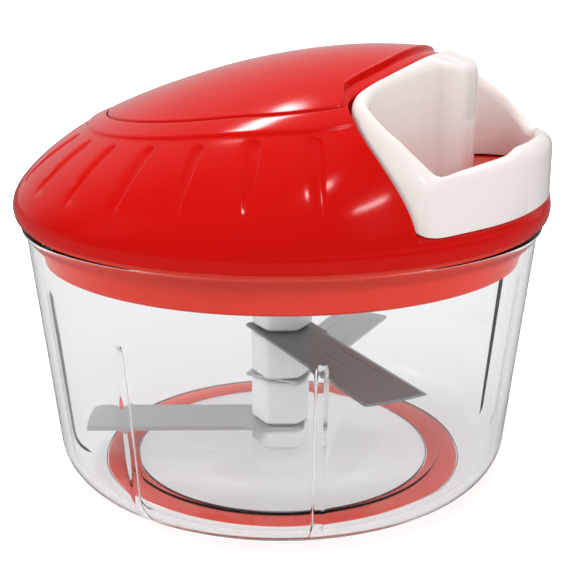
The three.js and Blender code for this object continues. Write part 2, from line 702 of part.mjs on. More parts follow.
// The lid base: a skirt, a flange that sits on the bowl's rim, and a plate with a bearing hole.
function makeLidBase() {
  const bore = bushRadius + seatGap;
  const flangeTop = flangeZ + flangeThickness;
  const base = turned([
    [bore, skirtZ], [skirtRadius - skirtChamfer, skirtZ], [skirtRadius, skirtZ + skirtChamfer],
    [skirtRadius, flangeZ], [flangeReach, flangeZ], [flangeReach, flangeTop],
    [skirtRadius - skirtWall, flangeTop], [skirtRadius - skirtWall, plateZ], [bore, plateZ],
  ], roundSides);
  return screwPlaces.reduce((body, place) => {
    const hole = peg(screwShankRadius + seatGap, skirtZ - cutOverrun, plateZ + cutOverrun, place);
    const head = peg(screwHeadRadius + seatGap, skirtZ - cutOverrun, skirtZ + screwHeadHeight + seatGap, place);
    return body.subtract(hole).subtract(head);
  }, base);
}

function makeSeal() {
  const inner = skirtRadius + seatGap;
  const high = flangeZ - seatGap;
  return turned([
    [inner, high - sealHeight], [inner + sealSection / 2, high - sealHeight],
    [sealRadius, high - sealHeight / 2], [sealRadius, high], [inner, high],
  ], roundSides);
}

function makeScrew([x, y]) {
  const low = skirtZ + seatGap / 2;
  const headTop = low + screwHeadHeight;
  const high = skirtZ + screwLength;
  const screw = turned([
    [0, low], [screwHeadRadius, low], [screwHeadRadius, headTop], [screwShankRadius, headTop],
    [screwShankRadius, high - screwShankRadius], [0, high],
  ], smallSides);
  const slot = screwHeadRadius / 6;
  const cut = prism([[-screwPitRim, -slot], [screwPitRim, -slot], [screwPitRim, slot], [-screwPitRim, slot]],
    low - cutOverrun, low + screwHeadHeight / 2);
  const cross = cut.add(cut.rotate([0, 0, 90]));
  return screw.subtract(cross).translate([x, y, 0]);
}

function makeBush() {
  const bore = journalRadius + seatGap;
  return turned([
    [bore, skirtZ], [bushRadius, skirtZ],
    [bushRadius, plateZ + seatGap / 2], [bushFlange, plateZ + seatGap / 2],
    [bushFlange, plateZ + bushFlangeThickness], [bore, plateZ + bushFlangeThickness],
  ]);
}

// The drive spindle: a hexagonal dog below, a journal in the bush, and a disc that carries the ratchet.
function makeSpindle() {
  const discTop = discZ + spindleDiscThickness;
  const shaft = turnedRing(0, journalRadius, skirtZ + seatGap, discZ + seatGap, middleSides);
  const disc = turnedRing(0, spindleDiscRadius, discZ, discTop, middleSides);
  const dog = prism(roundedHexagon(dogFlats, seatGap, hubAngle), hubTopZ - dogDepth, skirtZ + 2 * seatGap);
  const bore = peg(axleRadius + seatGap, axleLowZ - seatGap, discTop + cutOverrun);
  return shaft.add(disc).add(dog).subtract(bore);
}

// The ratchet ring: saw teeth that point inwards.
function makeRatchet() {
  const teeth = [];
  for (let n = 0; n < ratchetTeeth; n++) {
    const tip = ratchetFaceAngle + (n * TAU) / ratchetTeeth;
    teeth.push(polar(ratchetRootRadius, tip - ratchetFaceLean));
    teeth.push(polar(ratchetTipRadius, tip));
  }
  return prism(circle(ratchetOuterRadius, middleSides), ratchetZ, ratchetZ + ratchetHeight, [teeth.reverse()]);
}

// A pawl: an eye on its pin and a tail that leans into the teeth.
function makePawl(turn) {
  const low = ratchetZ + ratchetHeight - pawlThickness;
  const pin = new THREE.Vector2(...polar(pawlPinCircle, turn));
  const tip = new THREE.Vector2(...polar(pawlTipRadius, turn + pawlLead));
  const along = tip.clone().sub(pin).normalize();
  const side = new THREE.Vector2(-along.y, along.x).multiplyScalar(pawlTailWidth / 2);
  const tail = [pin.clone().sub(side), tip.clone().sub(side), tip.clone().add(side), pin.clone().add(side)];
  const body = prism(tail.map((p) => [p.x, p.y]), low, low + pawlThickness)
    .add(prism(circle(pawlEyeRadius, smallSides, pin.x, pin.y), low, low + pawlThickness));
  return body.subtract(peg(pawlPinRadius + seatGap, low - cutOverrun, carrierZ, [pin.x, pin.y]));
}

function makePawlPin(turn) {
  const low = ratchetZ + ratchetHeight - pawlThickness - seatGap;
  const high = carrierZ + reelCarrierThickness / 2;
  return peg(pawlPinRadius, low, high, polar(pawlPinCircle, turn));
}

function makeWasher() {
  return turnedRing(axleRadius + seatGap, washerRadius, washerTopZ - washerThickness, washerTopZ, smallSides);
}

// The reel: a pawl carrier below, a neck, and a flanged drum that is hollow for the spring.
function makeReel() {
  const bore = axleRadius + seatGap;
  const neckTop = grooveZ - reelFlangeThickness;
  const chamber = drumRadius - drumWall;
  const reel = turned([
    [bore, washerTopZ + seatGap], [reelSleeveRadius, washerTopZ + seatGap], [reelSleeveRadius, carrierZ],
    [reelCarrierRadius, carrierZ], [reelCarrierRadius, carrierZ + reelCarrierThickness],
    [reelNeckRadius, carrierZ + reelCarrierThickness], [reelNeckRadius, neckTop], [reelFlangeRadius, neckTop],
    [reelFlangeRadius, grooveZ], [drumRadius, grooveZ], [drumRadius, grooveZ + reelGrooveHeight],
    [reelFlangeRadius, grooveZ + reelGrooveHeight], [reelFlangeRadius, reelTopZ], [chamber, reelTopZ],
    [chamber, grooveZ], [bore, grooveZ],
  ]);
  const holeTop = carrierZ + reelCarrierThickness / 2 + seatGap;
  return pawlTurns.reduce((body, turn) => {
    const place = polar(pawlPinCircle, turn);
    return body.subtract(peg(pawlPinRadius + seatGap, carrierZ - cutOverrun, holeTop, place));
  }, reel);
}

function makeWinding() {
  const inner = drumRadius + seatGap;
  const outer = drumRadius + winding;
  const low = grooveZ + seatGap;
  const high = grooveZ + reelGrooveHeight - seatGap;
  const edge = cordRadius / 2;
  return turned([
    [inner, low], [outer - edge, low], [outer, low + edge],
    [outer, high - edge], [outer - edge, high], [inner, high],
  ]);
}

// The return spring: a flat strip wound in a spiral from the arbor out to the drum's wall.
function makeSpring() {
  const inner = arborRadius + seatGap;
  const outer = drumRadius - drumWall - seatGap - springThickness;
  const steps = springTurns * smallSides;
  const line = (extra) => Array.from({ length: steps + 1 }, (_, n) =>
    polar(inner + extra + ((outer - inner) * n) / steps, (n * TAU) / smallSides));
  const high = grooveZ + reelGrooveHeight;
  return prism([...line(0), ...line(springThickness).reverse()].reverse(), grooveZ + seatGap, high);
}

function makeArbor() {
  const high = reelTopZ + springCoverThickness;
  return turnedRing(axleRadius + seatGap, axleRadius + arborWall, grooveZ + seatGap, high, smallSides);
}

function makeSpringCover() {
  const outer = drumRadius - drumWall - seatGap;
  const low = grooveZ + reelGrooveHeight + seatGap;
  return turnedRing(arborRadius + seatGap, outer, low, low + springCoverThickness);
}

function makeAxle() {
  const edge = axleRadius / 4;
  const shaft = [[0, axleLowZ], [axleRadius, axleLowZ], [axleRadius, axleTopZ - edge]];
  return turned([...shaft, [axleRadius - edge, axleTopZ], [0, axleTopZ]], smallSides);
}

// The cord's eyelet in the notch wall.
function makeGuide() {
  const front = handleRear - notchGap - seatGap;
  const back = front - guideLength;
  const tube = rodAlongX(guideRadius, back, front, cordZ);
  const flange = rodAlongX(guideFlange, back - guideFlangeThickness, back, cordZ);
  const bore = rodAlongX(cordRadius + seatGap, back - guideFlange, front + cutOverrun, cordZ);
  return tube.add(flange).subtract(bore);
}

// The pull handle: one wall round its opening, its top in line with the dome, with a post for the cord.
// The knot goes in from below, so that the post's front stays plain.
function makeHandle() {
  const outside = loopPoints(outsideLoop);
  const opening = loopPoints(openingLoop);
  const rimRadius = handleFrontRadius - handleWall;
  const topAt = (p) => {
    const radius = Math.hypot(p.x, p.y);
    const inward = Math.min(rimRadius / radius, 1);
    return domeHeight(p.x * inward, p.y * inward) + handleRimProud;
  };
  const crownAt = (p) => topAt(p) + handleCrown * (p.y / handleHalfWidth) ** 2;
  const at = (p, z) => new THREE.Vector3(p.x, p.y, z);
  const sections = outside.map((o, n) => {
    const i = opening[n];
    const across = i.clone().sub(o).normalize();
    const round = handleEdgeRound;
    const half = round * (1 - Math.SQRT1_2);
    const [oIn, oHalf] = [o.clone().addScaledVector(across, round), o.clone().addScaledVector(across, half)];
    const [iIn, iHalf] = [i.clone().addScaledVector(across, -round), i.clone().addScaledVector(across, -half)];
    return [
      at(o, domeEdgeZ), at(o, topAt(o) - round), at(oHalf, crownAt(oHalf) - half), at(oIn, crownAt(oIn)),
      at(iIn, crownAt(iIn)), at(iHalf, crownAt(iHalf) - half), at(i, topAt(i) - round), at(i, domeEdgeZ),
    ];
  });
  const handle = looped(sections).intersect(notchSpace(-seatGap));
  const knotEnd = opening[0].x - knotBack;
  const bore = rodAlongX(cordRadius + seatGap, handleRear - cutOverrun, knotEnd, cordZ);
  const [back, front] = [knotEnd - knotLength - seatGap, knotEnd + seatGap];
  const side = knotRadius + seatGap;
  const pocket = prism([[back, -side], [front, -side], [front, side], [back, side]], domeEdgeZ, cordZ + side);
  return handle.subtract(bore).subtract(pocket);
}

function makeKnot() {
  const start = loopPoints(openingLoop)[0].x - knotLength - knotBack;
  return rodAlongX(knotRadius, start, start + knotLength, cordZ);
}

// The cord: a straight run from the reel, a bend before the guide, and a straight run to the knot.
function makeCord() {
  const mouth = handleRear - notchGap - seatGap - guideLength - guideFlangeThickness;
  const corner = new THREE.Vector3(mouth - 2 * cordRadius, 0, cordZ);
  const windRadius = drumRadius + winding + cordRadius + seatGap;
  const start = new THREE.Vector3(...polar(windRadius, -Math.acos(windRadius / corner.x)), cordZ);
  const before = corner.clone().add(start.clone().sub(corner).setLength(cordBend));
  const after = corner.clone().setX(corner.x + cordRadius);
  const end = corner.clone().setX(loopPoints(openingLoop)[0].x - knotLength - knotBack - seatGap);
  const path = new THREE.CurvePath();
  path.add(new THREE.LineCurve3(start, before));
  path.add(new THREE.QuadraticBezierCurve3(before, corner, after));
  path.add(new THREE.LineCurve3(after, end));
  const shape = new THREE.Shape(circle(cordRadius, cordSides).map(([x, y]) => new THREE.Vector2(x, y)));
  return solid(new THREE.ExtrudeGeometry(shape, { extrudePath: path, steps: cordSteps, bevelEnabled: false }));
}

const group = new THREE.Group();
group.name = "pull_cord_chopper";

function add(name, body, finish) {
  const mesh = new THREE.Mesh(geometryOf(body), new THREE.MeshStandardMaterial(finish));
  mesh.name = name;
  group.add(mesh);
}

add("bowl", makeBowl(), clearPlastic);
add("base_ring", makeBaseRing(), softRed);
add("pivot_pin", makePin(), steel);

add("hub_core", makeHubCore(), hubWhite);
add("lower_collar", makeCollar(lowerBladeZ + seatGap, middleBladeZ - bladeThickness - seatGap), hubWhite);
add("upper_collar", makeCollar(middleBladeZ + seatGap, upperBladeZ - bladeThickness - seatGap), hubWhite);
add("top_collar", makeCollar(upperBladeZ + seatGap, hubTopZ, hubTopFlats), hubWhite);
add("lower_blade", makeBlade(lowerBladeReach, lowerBladeZ, lowerBladeAngle), steel);
add("middle_blade", makeBlade(middleBladeReach, middleBladeZ, middleBladeAngle), steel);
add("upper_blade", makeBlade(upperBladeReach, upperBladeZ, upperBladeAngle), steel);

add("lid_base", makeLidBase(), lidRed);
add("lid_seal", makeSeal(), softRed);
add("lid_dome", makeDome(), lidRed);
add("top_panel", makePanel(), lidRed);
screwPlaces.forEach((place, n) => add(`lid_screw_${n + 1}`, makeScrew(place), steel));
add("drive_bush", makeBush(), hubWhite);
add("reel_axle", makeAxle(), steel);
add("spring_arbor", makeArbor(), steel);
add("cord_guide", makeGuide(), hubWhite);

add("drive_spindle", makeSpindle(), hubWhite);
add("ratchet_ring", makeRatchet(), darkPlastic);
add("thrust_washer", makeWasher(), steel);

add("reel", makeReel(), hubWhite);
add("cord_winding", makeWinding(), cordGrey);
add("return_spring", makeSpring(), steel);
add("spring_cover", makeSpringCover(), darkPlastic);
pawlTurns.forEach((turn, n) => {
  add(`pawl_pin_${n + 1}`, makePawlPin(turn), steel);
  add(`pawl_${n + 1}`, makePawl(turn), darkPlastic);
});

add("pull_handle", makeHandle(), handleWhite);
add("cord_knot", makeKnot(), cordGrey);
add("pull_cord", makeCord(), cordGrey);

export default group;
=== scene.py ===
# %% [markdown]
# # A pull-cord food chopper
# A clear bowl holds three blades on one hub. A red lid covers it, and a white handle sits in a notch of the
# lid. Pulling the handle draws out a cord, the cord turns a reel, and the reel turns the blades.
# The solids that move and collide come packed, as a fixed frame. This script dresses them: it makes the
# camera, the light, the finishes, and finer skins for the pieces that the eye rests on.

# %% Load the frame
import math

import bpy
import numpy as np
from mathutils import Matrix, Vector


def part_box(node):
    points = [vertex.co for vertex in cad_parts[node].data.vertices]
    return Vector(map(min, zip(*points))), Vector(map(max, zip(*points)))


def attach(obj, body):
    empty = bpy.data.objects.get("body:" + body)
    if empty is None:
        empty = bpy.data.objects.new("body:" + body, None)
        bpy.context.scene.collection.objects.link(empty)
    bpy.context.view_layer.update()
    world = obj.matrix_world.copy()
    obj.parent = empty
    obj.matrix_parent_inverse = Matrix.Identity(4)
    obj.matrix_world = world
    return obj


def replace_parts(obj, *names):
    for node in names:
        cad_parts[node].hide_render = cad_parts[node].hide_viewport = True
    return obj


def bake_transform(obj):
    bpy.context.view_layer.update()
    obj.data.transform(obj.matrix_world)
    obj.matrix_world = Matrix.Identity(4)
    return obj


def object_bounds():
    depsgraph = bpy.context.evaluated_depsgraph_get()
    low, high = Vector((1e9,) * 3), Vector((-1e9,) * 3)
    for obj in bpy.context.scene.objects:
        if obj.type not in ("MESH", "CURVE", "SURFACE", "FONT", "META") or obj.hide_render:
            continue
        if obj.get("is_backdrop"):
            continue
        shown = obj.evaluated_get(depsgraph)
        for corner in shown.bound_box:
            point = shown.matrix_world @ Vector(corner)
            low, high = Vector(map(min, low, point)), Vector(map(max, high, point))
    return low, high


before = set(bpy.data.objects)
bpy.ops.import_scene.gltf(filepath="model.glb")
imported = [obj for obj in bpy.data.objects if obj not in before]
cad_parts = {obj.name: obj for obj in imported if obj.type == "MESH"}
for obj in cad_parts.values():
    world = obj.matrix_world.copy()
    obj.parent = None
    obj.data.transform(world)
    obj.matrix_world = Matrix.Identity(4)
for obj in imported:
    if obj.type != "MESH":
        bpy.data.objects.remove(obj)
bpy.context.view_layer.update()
scene = bpy.context.scene
mm = 0.001
TAU = 2 * math.pi

# %% [markdown]
# ## The camera
# A product photograph is taken from far off with a long lens, so that the object keeps its proportions.
# Here the eye stands about 0.3 m away, a little above the lid and to the right. Its place was found by
# matching the rims of the bowl and the ring under it, whose ellipses tell height and distance apart.

# %% Camera
camera_data = bpy.data.cameras.new("photo_camera")
camera_data.lens = 74.15
camera_data.sensor_width = 36
camera = bpy.data.objects.new("photo_camera", camera_data)
camera.location = Vector((125.30, -245.91, 128.15)) * mm
camera.rotation_euler = (math.radians(72.835), 0, math.radians(26.71))
scene.collection.objects.link(camera)
scene.camera = camera
print("camera at", [round(x, 4) for x in camera.location])

# %% [markdown]
# ## Surfaces from numbers
# Every new piece is a grid of points: rows run along the piece, columns run round it, and neighbours make
# four-sided faces. Working out all the points at once as arrays is quick, and each shape stays one formula.
# Sizes are written in millimetres, as on a drawing, and become metres where the mesh is made.

# %% Grid helpers
def grid_faces(rows, columns, around=True, along=False):
    """Four-point faces between neighbouring rows and columns of a grid whose points are numbered row by row."""
    r = np.arange(rows if along else rows - 1)[:, None]
    c = np.arange(columns if around else columns - 1)[None, :]
    r2, c2 = (r + 1) % rows, (c + 1) % columns
    corners = [r * columns + c, r * columns + c2, r2 * columns + c2, r2 * columns + c]
    return np.stack(corners, axis=-1).reshape(-1, 4)


def put(name, points, quads, triangles=(), crease=30):
    """A mesh of points in millimetres. Its faces are turned outwards by the sign of the volume that they
    enclose: the sum over the triangles of a . (b x c). Edges that bend more than crease degrees stay crisp."""
    quads = np.asarray(quads, int).reshape(-1, 4)
    triangles = np.asarray(triangles, int).reshape(-1, 3)
    corners = points[np.vstack([quads[:, [0, 1, 2]], quads[:, [0, 2, 3]], triangles])]
    volume = np.einsum("ij,ij->", corners[:, 0], np.cross(corners[:, 1], corners[:, 2]))
    if volume < 0:
        quads, triangles = quads[:, ::-1], triangles[:, ::-1]
    mesh = bpy.data.meshes.new(name)
    mesh.from_pydata((points * mm).tolist(), [], quads.tolist() + triangles.tolist())
    mesh.shade_smooth()
    mesh.set_sharp_from_angle(angle=math.radians(crease))
    piece = bpy.data.objects.new(name, mesh)
    scene.collection.objects.link(piece)
    return piece


def skin(name, grid, loop=False, crease=30):
    """A closed piece over a grid of points (rows, columns, 3). The columns join round. The rows join round too
    in a loop; otherwise a fan about the mean point of each end row closes that end."""
    rows, columns = grid.shape[:2]
    points = grid.reshape(-1, 3)
    quads = grid_faces(rows, columns, along=loop)
    if loop:
        return put(name, points, quads, crease=crease)
    c = np.arange(columns)
    after = (c + 1) % columns
    first, last = len(points), len(points) + 1
    points = np.vstack([points, grid[0].mean(0), grid[-1].mean(0)])
    low_fan = np.stack([np.full(columns, first), after, c], axis=1)
    high_fan = np.stack([np.full(columns, last), c, after], axis=1)
    high_fan[:, 1:] += (rows - 1) * columns
    return put(name, points, quads, np.vstack([low_fan, high_fan]), crease)


def plate(name, top, bottom, crease=30):
    """A closed plate between two grids of the same shape: both grids, and strips that join their borders."""
    rows, columns = top.shape[:2]
    count = rows * columns
    number = np.arange(count).reshape(rows, columns)
    border = np.concatenate([number[0, :-1], number[:-1, -1], number[-1, :0:-1], number[:0:-1, 0]])
    after = np.roll(border, -1)
    upper = grid_faces(rows, columns, around=False)
    sides = np.stack([border + count, after + count, after, border], axis=1)
    points = np.concatenate([top.reshape(-1, 3), bottom.reshape(-1, 3)])
    return put(name, points, np.vstack([upper, upper[:, ::-1] + count, sides]), crease=crease)


def turned(profile, sides=160):
    """A profile of [radius, height] turned about Z: x = r cos a, y = r sin a, for evenly spread angles a."""
    profile = np.asarray(profile, float)
    a = np.linspace(0, TAU, sides, endpoint=False)
    r, z = profile[:, :1], profile[:, 1:]
    return np.stack([r * np.cos(a), r * np.sin(a), z + 0 * a], axis=-1)


def eased(corners, rounds, steps=5, closed=True):
    """Rounds an outline's corners. From one round before a corner to one round after it runs a parabola
    whose control point is the corner: (1 - t)^2 a + 2 t (1 - t) corner + t^2 b."""
    corners = np.asarray(corners, float)
    rounds = np.broadcast_to(np.asarray(rounds, float), len(corners))[:, None]
    back, on = np.roll(corners, 1, axis=0) - corners, np.roll(corners, -1, axis=0) - corners
    a = corners + back / np.linalg.norm(back, axis=1, keepdims=True) * rounds
    b = corners + on / np.linalg.norm(on, axis=1, keepdims=True) * rounds
    t = np.linspace(0, 1, steps)[None, :, None]
    curve = (1 - t) ** 2 * a[:, None] + 2 * t * (1 - t) * corners[:, None] + t**2 * b[:, None]
    if closed:
        return curve.reshape(-1, 2)
    return np.vstack([corners[:1], curve[1:-1].reshape(-1, 2), corners[-1:]])


def combine(piece, tool, how="DIFFERENCE", crease=30):
    """Cuts one closed mesh by another, or joins them, and keeps the result as the first one's mesh."""
    change = piece.modifiers.new("combine", "BOOLEAN")
    change.object, change.operation, change.solver = tool, how, "MANIFOLD"
    shaped = piece.evaluated_get(bpy.context.evaluated_depsgraph_get())
    mesh = bpy.data.meshes.new_from_object(shaped)
    piece.modifiers.clear()
    piece.data = mesh
    bpy.data.objects.remove(tool)
    mesh.materials.clear()
    mesh.polygons.foreach_set("material_index", np.zeros(len(mesh.polygons), np.int32))
    mesh.shade_smooth()
    mesh.set_sharp_from_angle(angle=math.radians(crease))


def cylinder(name, radius, low, high, x=0.0, y=0.0, sides=48):
    """A closed upright cylinder in millimetres, for drilling and for pegs."""
    grid = turned([[radius, low], [radius, high]], sides)
    return skin(name, grid + np.array([x, y, 0.0]))


print("helpers ready")

# %% [markdown]
# ## Levels that the pieces share
# The frame says where each solid lies. Reading the heights from its boxes, rather than typing them again,
# keeps the skins on the solids when a size changes.

# %% Shared levels
def span(node):
    """Lowest and highest corner of a solid of the frame, in millimetres."""
    low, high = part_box(node)
    return np.array(low) / mm, np.array(high) / mm


seat_gap, floor_thickness, pad_height, dome_lip, cord_height = 0.3, 2.0, 0.4, 2.7, 16.7
foot_z, rim_z = span("bowl")[0][2], span("bowl")[1][2]
skirt_z, flange_top_z = span("lid_base")[0][2], span("lid_base")[1][2]
floor_z = foot_z + floor_thickness
pad_z = floor_z + pad_height
dome_radius = 62.5
dome_edge_z = flange_top_z + seat_gap
dome_base_z = dome_edge_z + dome_lip
cord_z = dome_base_z + cord_height
print("rim", round(rim_z, 2), "skirt", round(skirt_z, 2), "dome edge", round(dome_edge_z, 2))

# %% [markdown]
# ## The cord
# A thin braided cord leaves the reel, bends into an eyelet in the notch wall and ends in a knot inside the
# handle's post. It is always taut, so it is a tube along three short runs.

# %% Pull cord
def tube(path, radius, sides=12, upright=(0, 0, 1), closed=False):
    """A round tube along a path of points: each ring lies across the path's direction, turned from an upright
    vector, so its points are path + r (cos a) side + r (sin a) up. A closed path runs on into its start."""
    along = np.roll(path, -1, axis=0) - np.roll(path, 1, axis=0) if closed else np.gradient(path, axis=0)
    along /= np.linalg.norm(along, axis=1, keepdims=True)
    side = np.cross(along, upright)
    side /= np.linalg.norm(side, axis=1, keepdims=True)
    up = np.cross(side, along)
    a = np.linspace(0, TAU, sides, endpoint=False)[None, :, None]
    return path[:, None] + radius * (np.cos(a) * side[:, None] + np.sin(a) * up[:, None])


cord_radius, drum_radius, cord_bend = 1.1, 17.0, 3.3
winding = 4 * cord_radius
guide_low, guide_high = span("cord_guide")
corner = np.array([guide_low[0] - 2 * cord_radius, 0, cord_z])
wind_radius = drum_radius + winding + cord_radius + seat_gap
lean = -math.acos(wind_radius / corner[0])
start = np.array([wind_radius * math.cos(lean), wind_radius * math.sin(lean), cord_z])
end = np.array([span("pull_cord")[1][0], 0, cord_z])
before = corner + (start - corner) / np.linalg.norm(start - corner) * cord_bend
after = corner + np.array([cord_radius, 0, 0])
t = np.linspace(0, 1, 24)[:, None]
run_in = start + (before - start) * t[:-1]
bend = (1 - t) ** 2 * before + 2 * t * (1 - t) * corner + t**2 * after
run_out = after + (end - after) * t[1:]
cord_path = np.vstack([run_in, bend, run_out])
pull_cord = skin("pull_cord_braided", tube(cord_path, cord_radius))
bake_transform(pull_cord)
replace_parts(pull_cord, "pull_cord")
print("cord runs", round(float(np.linalg.norm(np.diff(cord_path, axis=0), axis=1).sum()), 1), "mm at rest")

# %% [markdown]
# ## Floor and light
# The chopper was shot on white with broad soft lamps. A white world would wash out the red gloss, because
# every reflection would be white, so only rays that look straight at the world, or through clear plastic,
# find plain white. Mirror-like rays find a white backdrop behind the object and a dimmer room in front.
# The floor could be a plain white sheet, but it would then be greyer than the backdrop. It glows a little
# instead, in an amount for each kind of ray, so that it stays pale and still takes the chopper's shadow.

# %% Node helper
WHITE = (1, 1, 1, 1)


def wire(tree, node, values):
    """Fills a node's inputs. Each value is a number, a colour, or another node's output to link."""
    for name, value in values.items():
        socket = node.inputs[name]
        if isinstance(value, bpy.types.NodeSocket):
            tree.links.new(value, socket)
        else:
            socket.default_value = value


def add(tree, kind, values=None, **settings):
    """A new shader node with its settings and its inputs."""
    node = tree.nodes.new(kind)
    for name, value in settings.items():
        setattr(node, name, value)
    wire(tree, node, values or {})
    return node


def ranged(tree, value, low, high, at_low, at_high, **settings):
    """A number that goes from at_low to at_high while value goes from low to high."""
    values = {"Value": value, "From Min": low, "From Max": high, "To Min": at_low, "To Max": at_high}
    return add(tree, "ShaderNodeMapRange", values, **settings).outputs["Result"]


def noise(tree, place, scale, detail):
    """Soft random values about one half, read at place, with a pattern of the scale in each metre."""
    return add(tree, "ShaderNodeTexNoise", {"Vector": place, "Scale": scale, "Detail": detail}).outputs["Fac"]


print("node helpers ready")


# %% World
world = bpy.data.worlds.new("studio")
world.use_nodes = True
tree = world.node_tree
tree.nodes.clear()
path = add(tree, "ShaderNodeLightPath")
seen = add(tree, "ShaderNodeMath", {0: path.outputs["Is Camera Ray"], 1: path.outputs["Is Transmission Ray"]},
           operation="MAXIMUM")
place = add(tree, "ShaderNodeTexCoord")
toward = add(tree, "ShaderNodeVectorMath", {0: place.outputs["Generated"], 1: (-0.42, 0.84, 0.35)},
             operation="DOT_PRODUCT")
backdrop = ranged(tree, toward.outputs["Value"], 0.2, 1.0, 0.03, 0.55, interpolation_type="SMOOTHSTEP")
shine, soft, white = (add(tree, "ShaderNodeBackground", {"Color": WHITE, "Strength": strength}).outputs[0]
                      for strength in (backdrop, 0.58, 1.0))
lit = add(tree, "ShaderNodeMixShader", {0: path.outputs["Is Glossy Ray"], 1: soft, 2: shine})
final = add(tree, "ShaderNodeMixShader", {0: seen.outputs[0], 1: lit.outputs[0], 2: white})
add(tree, "ShaderNodeOutputWorld", {"Surface": final.outputs[0]})
scene.world = world
scene.view_settings.view_transform = "Standard"
print("world ready")


# %% Floor
floor_depth = 5.0
a = np.linspace(0, TAU, 96, endpoint=False)
radii = np.array([0.5, 60, 150, 400, 1500])[:, None]
ground = np.stack([radii * np.cos(a), radii * np.sin(a), 0 * radii * a], axis=-1)
floor = skin("floor", np.concatenate([ground, ground[::-1] - [0, 0, floor_depth]]))
floor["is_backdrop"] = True
floor_paint = bpy.data.materials.new("floor_white")
floor_paint.use_nodes = True
tree = floor_paint.node_tree
tree.nodes.clear()
path = add(tree, "ShaderNodeLightPath")
place = add(tree, "ShaderNodeTexCoord")
away = add(tree, "ShaderNodeVectorMath", {0: place.outputs["Object"]}, operation="LENGTH")
through = path.outputs["Is Transmission Ray"]
mirrored = add(tree, "ShaderNodeMath", {0: path.outputs["Is Glossy Ray"], 1: through}, operation="SUBTRACT",
               use_clamp=True).outputs[0]
# Each row is a kind of ray, two distances from the chopper in metres, and the glow's strength at both.
glows = ((path.outputs["Is Camera Ray"], 0.07, 0.3, 0.36, 1.0), (through, 0.04, 0.09, 0.53, 0.46),
         (mirrored, 0.05, 0.062, 0.45, 0.0))
glow = 0.0
for ray, near, far, at_near, at_far in glows:
    strength = ranged(tree, away.outputs["Value"], near, far, at_near, at_far, interpolation_type="SMOOTHSTEP")
    own = add(tree, "ShaderNodeMath", {0: ray, 1: strength}, operation="MULTIPLY")
    glow = add(tree, "ShaderNodeMath", {0: own.outputs[0], 1: glow}, operation="ADD").outputs[0]
# The floor's own grey changes with the kind of ray: 0.86 seen straight, 0.42 through clear plastic and 0.16 in
# reflections. The two darker greys are painted shade.
paint, pale, dim = (add(tree, "ShaderNodeBsdfDiffuse", {"Color": (grey, grey, grey, 1)}).outputs[0]
                    for grey in (0.86, 0.42, 0.16))
open_view = add(tree, "ShaderNodeMixShader", {0: through, 1: paint, 2: pale})
seen = add(tree, "ShaderNodeMixShader", {0: mirrored, 1: open_view.outputs[0], 2: dim})
shine = add(tree, "ShaderNodeEmission", {"Color": WHITE, "Strength": glow})
both = add(tree, "ShaderNodeAddShader", {0: seen.outputs[0], 1: shine.outputs[0]})
add(tree, "ShaderNodeOutputMaterial", {"Surface": both.outputs[0]})
floor.data.materials.append(floor_paint)
print("floor ready")


# %% Lamps
def softbox(name, place, aim, size, power, mirrored=True):
    """A rectangular lamp at a place in metres that faces a point, with its power in watts. A lamp that isn't
    mirrored lights the pieces but doesn't show in their gloss."""
    data = bpy.data.lights.new(name, "AREA")
    data.shape, data.size, data.size_y, data.energy = "RECTANGLE", size[0], size[1], power
    lamp = bpy.data.objects.new(name, data)
    lamp.location = place
    lamp.visible_glossy = mirrored
    lamp.rotation_euler = (Vector(aim) - Vector(place)).to_track_quat("-Z", "Y").to_euler()
    scene.collection.objects.link(lamp)


softbox("lamp_top", (-0.05, 0.05, 0.75), (0, 0, 0.05), (0.7, 0.6), 2.6, mirrored=False)
softbox("lamp_left", (-0.65, -0.5, 0.45), (0, 0, 0.05), (0.35, 0.5), 2.0, mirrored=False)
softbox("lamp_right", (0.75, -0.35, 0.5), (0, 0, 0.05), (0.3, 0.5), 1.5, mirrored=False)
softbox("strip_band", (-0.27, 0.125, 0.705), (0.016, -0.04, 0.09), (0.17, 0.07), 1.0)
softbox("strip_window", (0.242, -0.338, 0.681), (0.033, -0.046, 0.08), (0.06, 0.05), 0.3)
softbox("strip_right", (0.54, -0.287, 0.504), (0.041, -0.043, 0.077), (0.16, 0.025), 0.35)

# %% [markdown]
# ## Finishes
# Moulded plastic is never one flat value. A polished tool leaves a faint waviness, handling leaves a slight
# haze, and a colour drifts a little with the wall's thickness. Noise on the piece's own coordinates gives
# all three, at the scale of the real thing: about a millimetre for the skin and centimetres for the haze.
# A painted texture could do it too, but noise has no seams and holds at any distance.

# %% Moulded plastics
def new_finish(name):
    """A finish to fill: the material, its tree, its main shader and the coordinates that its patterns read."""
    made = bpy.data.materials.new(name)
    made.use_nodes = True
    tree = made.node_tree
    return made, tree, tree.nodes["Principled BSDF"], add(tree, "ShaderNodeTexCoord").outputs["Object"]


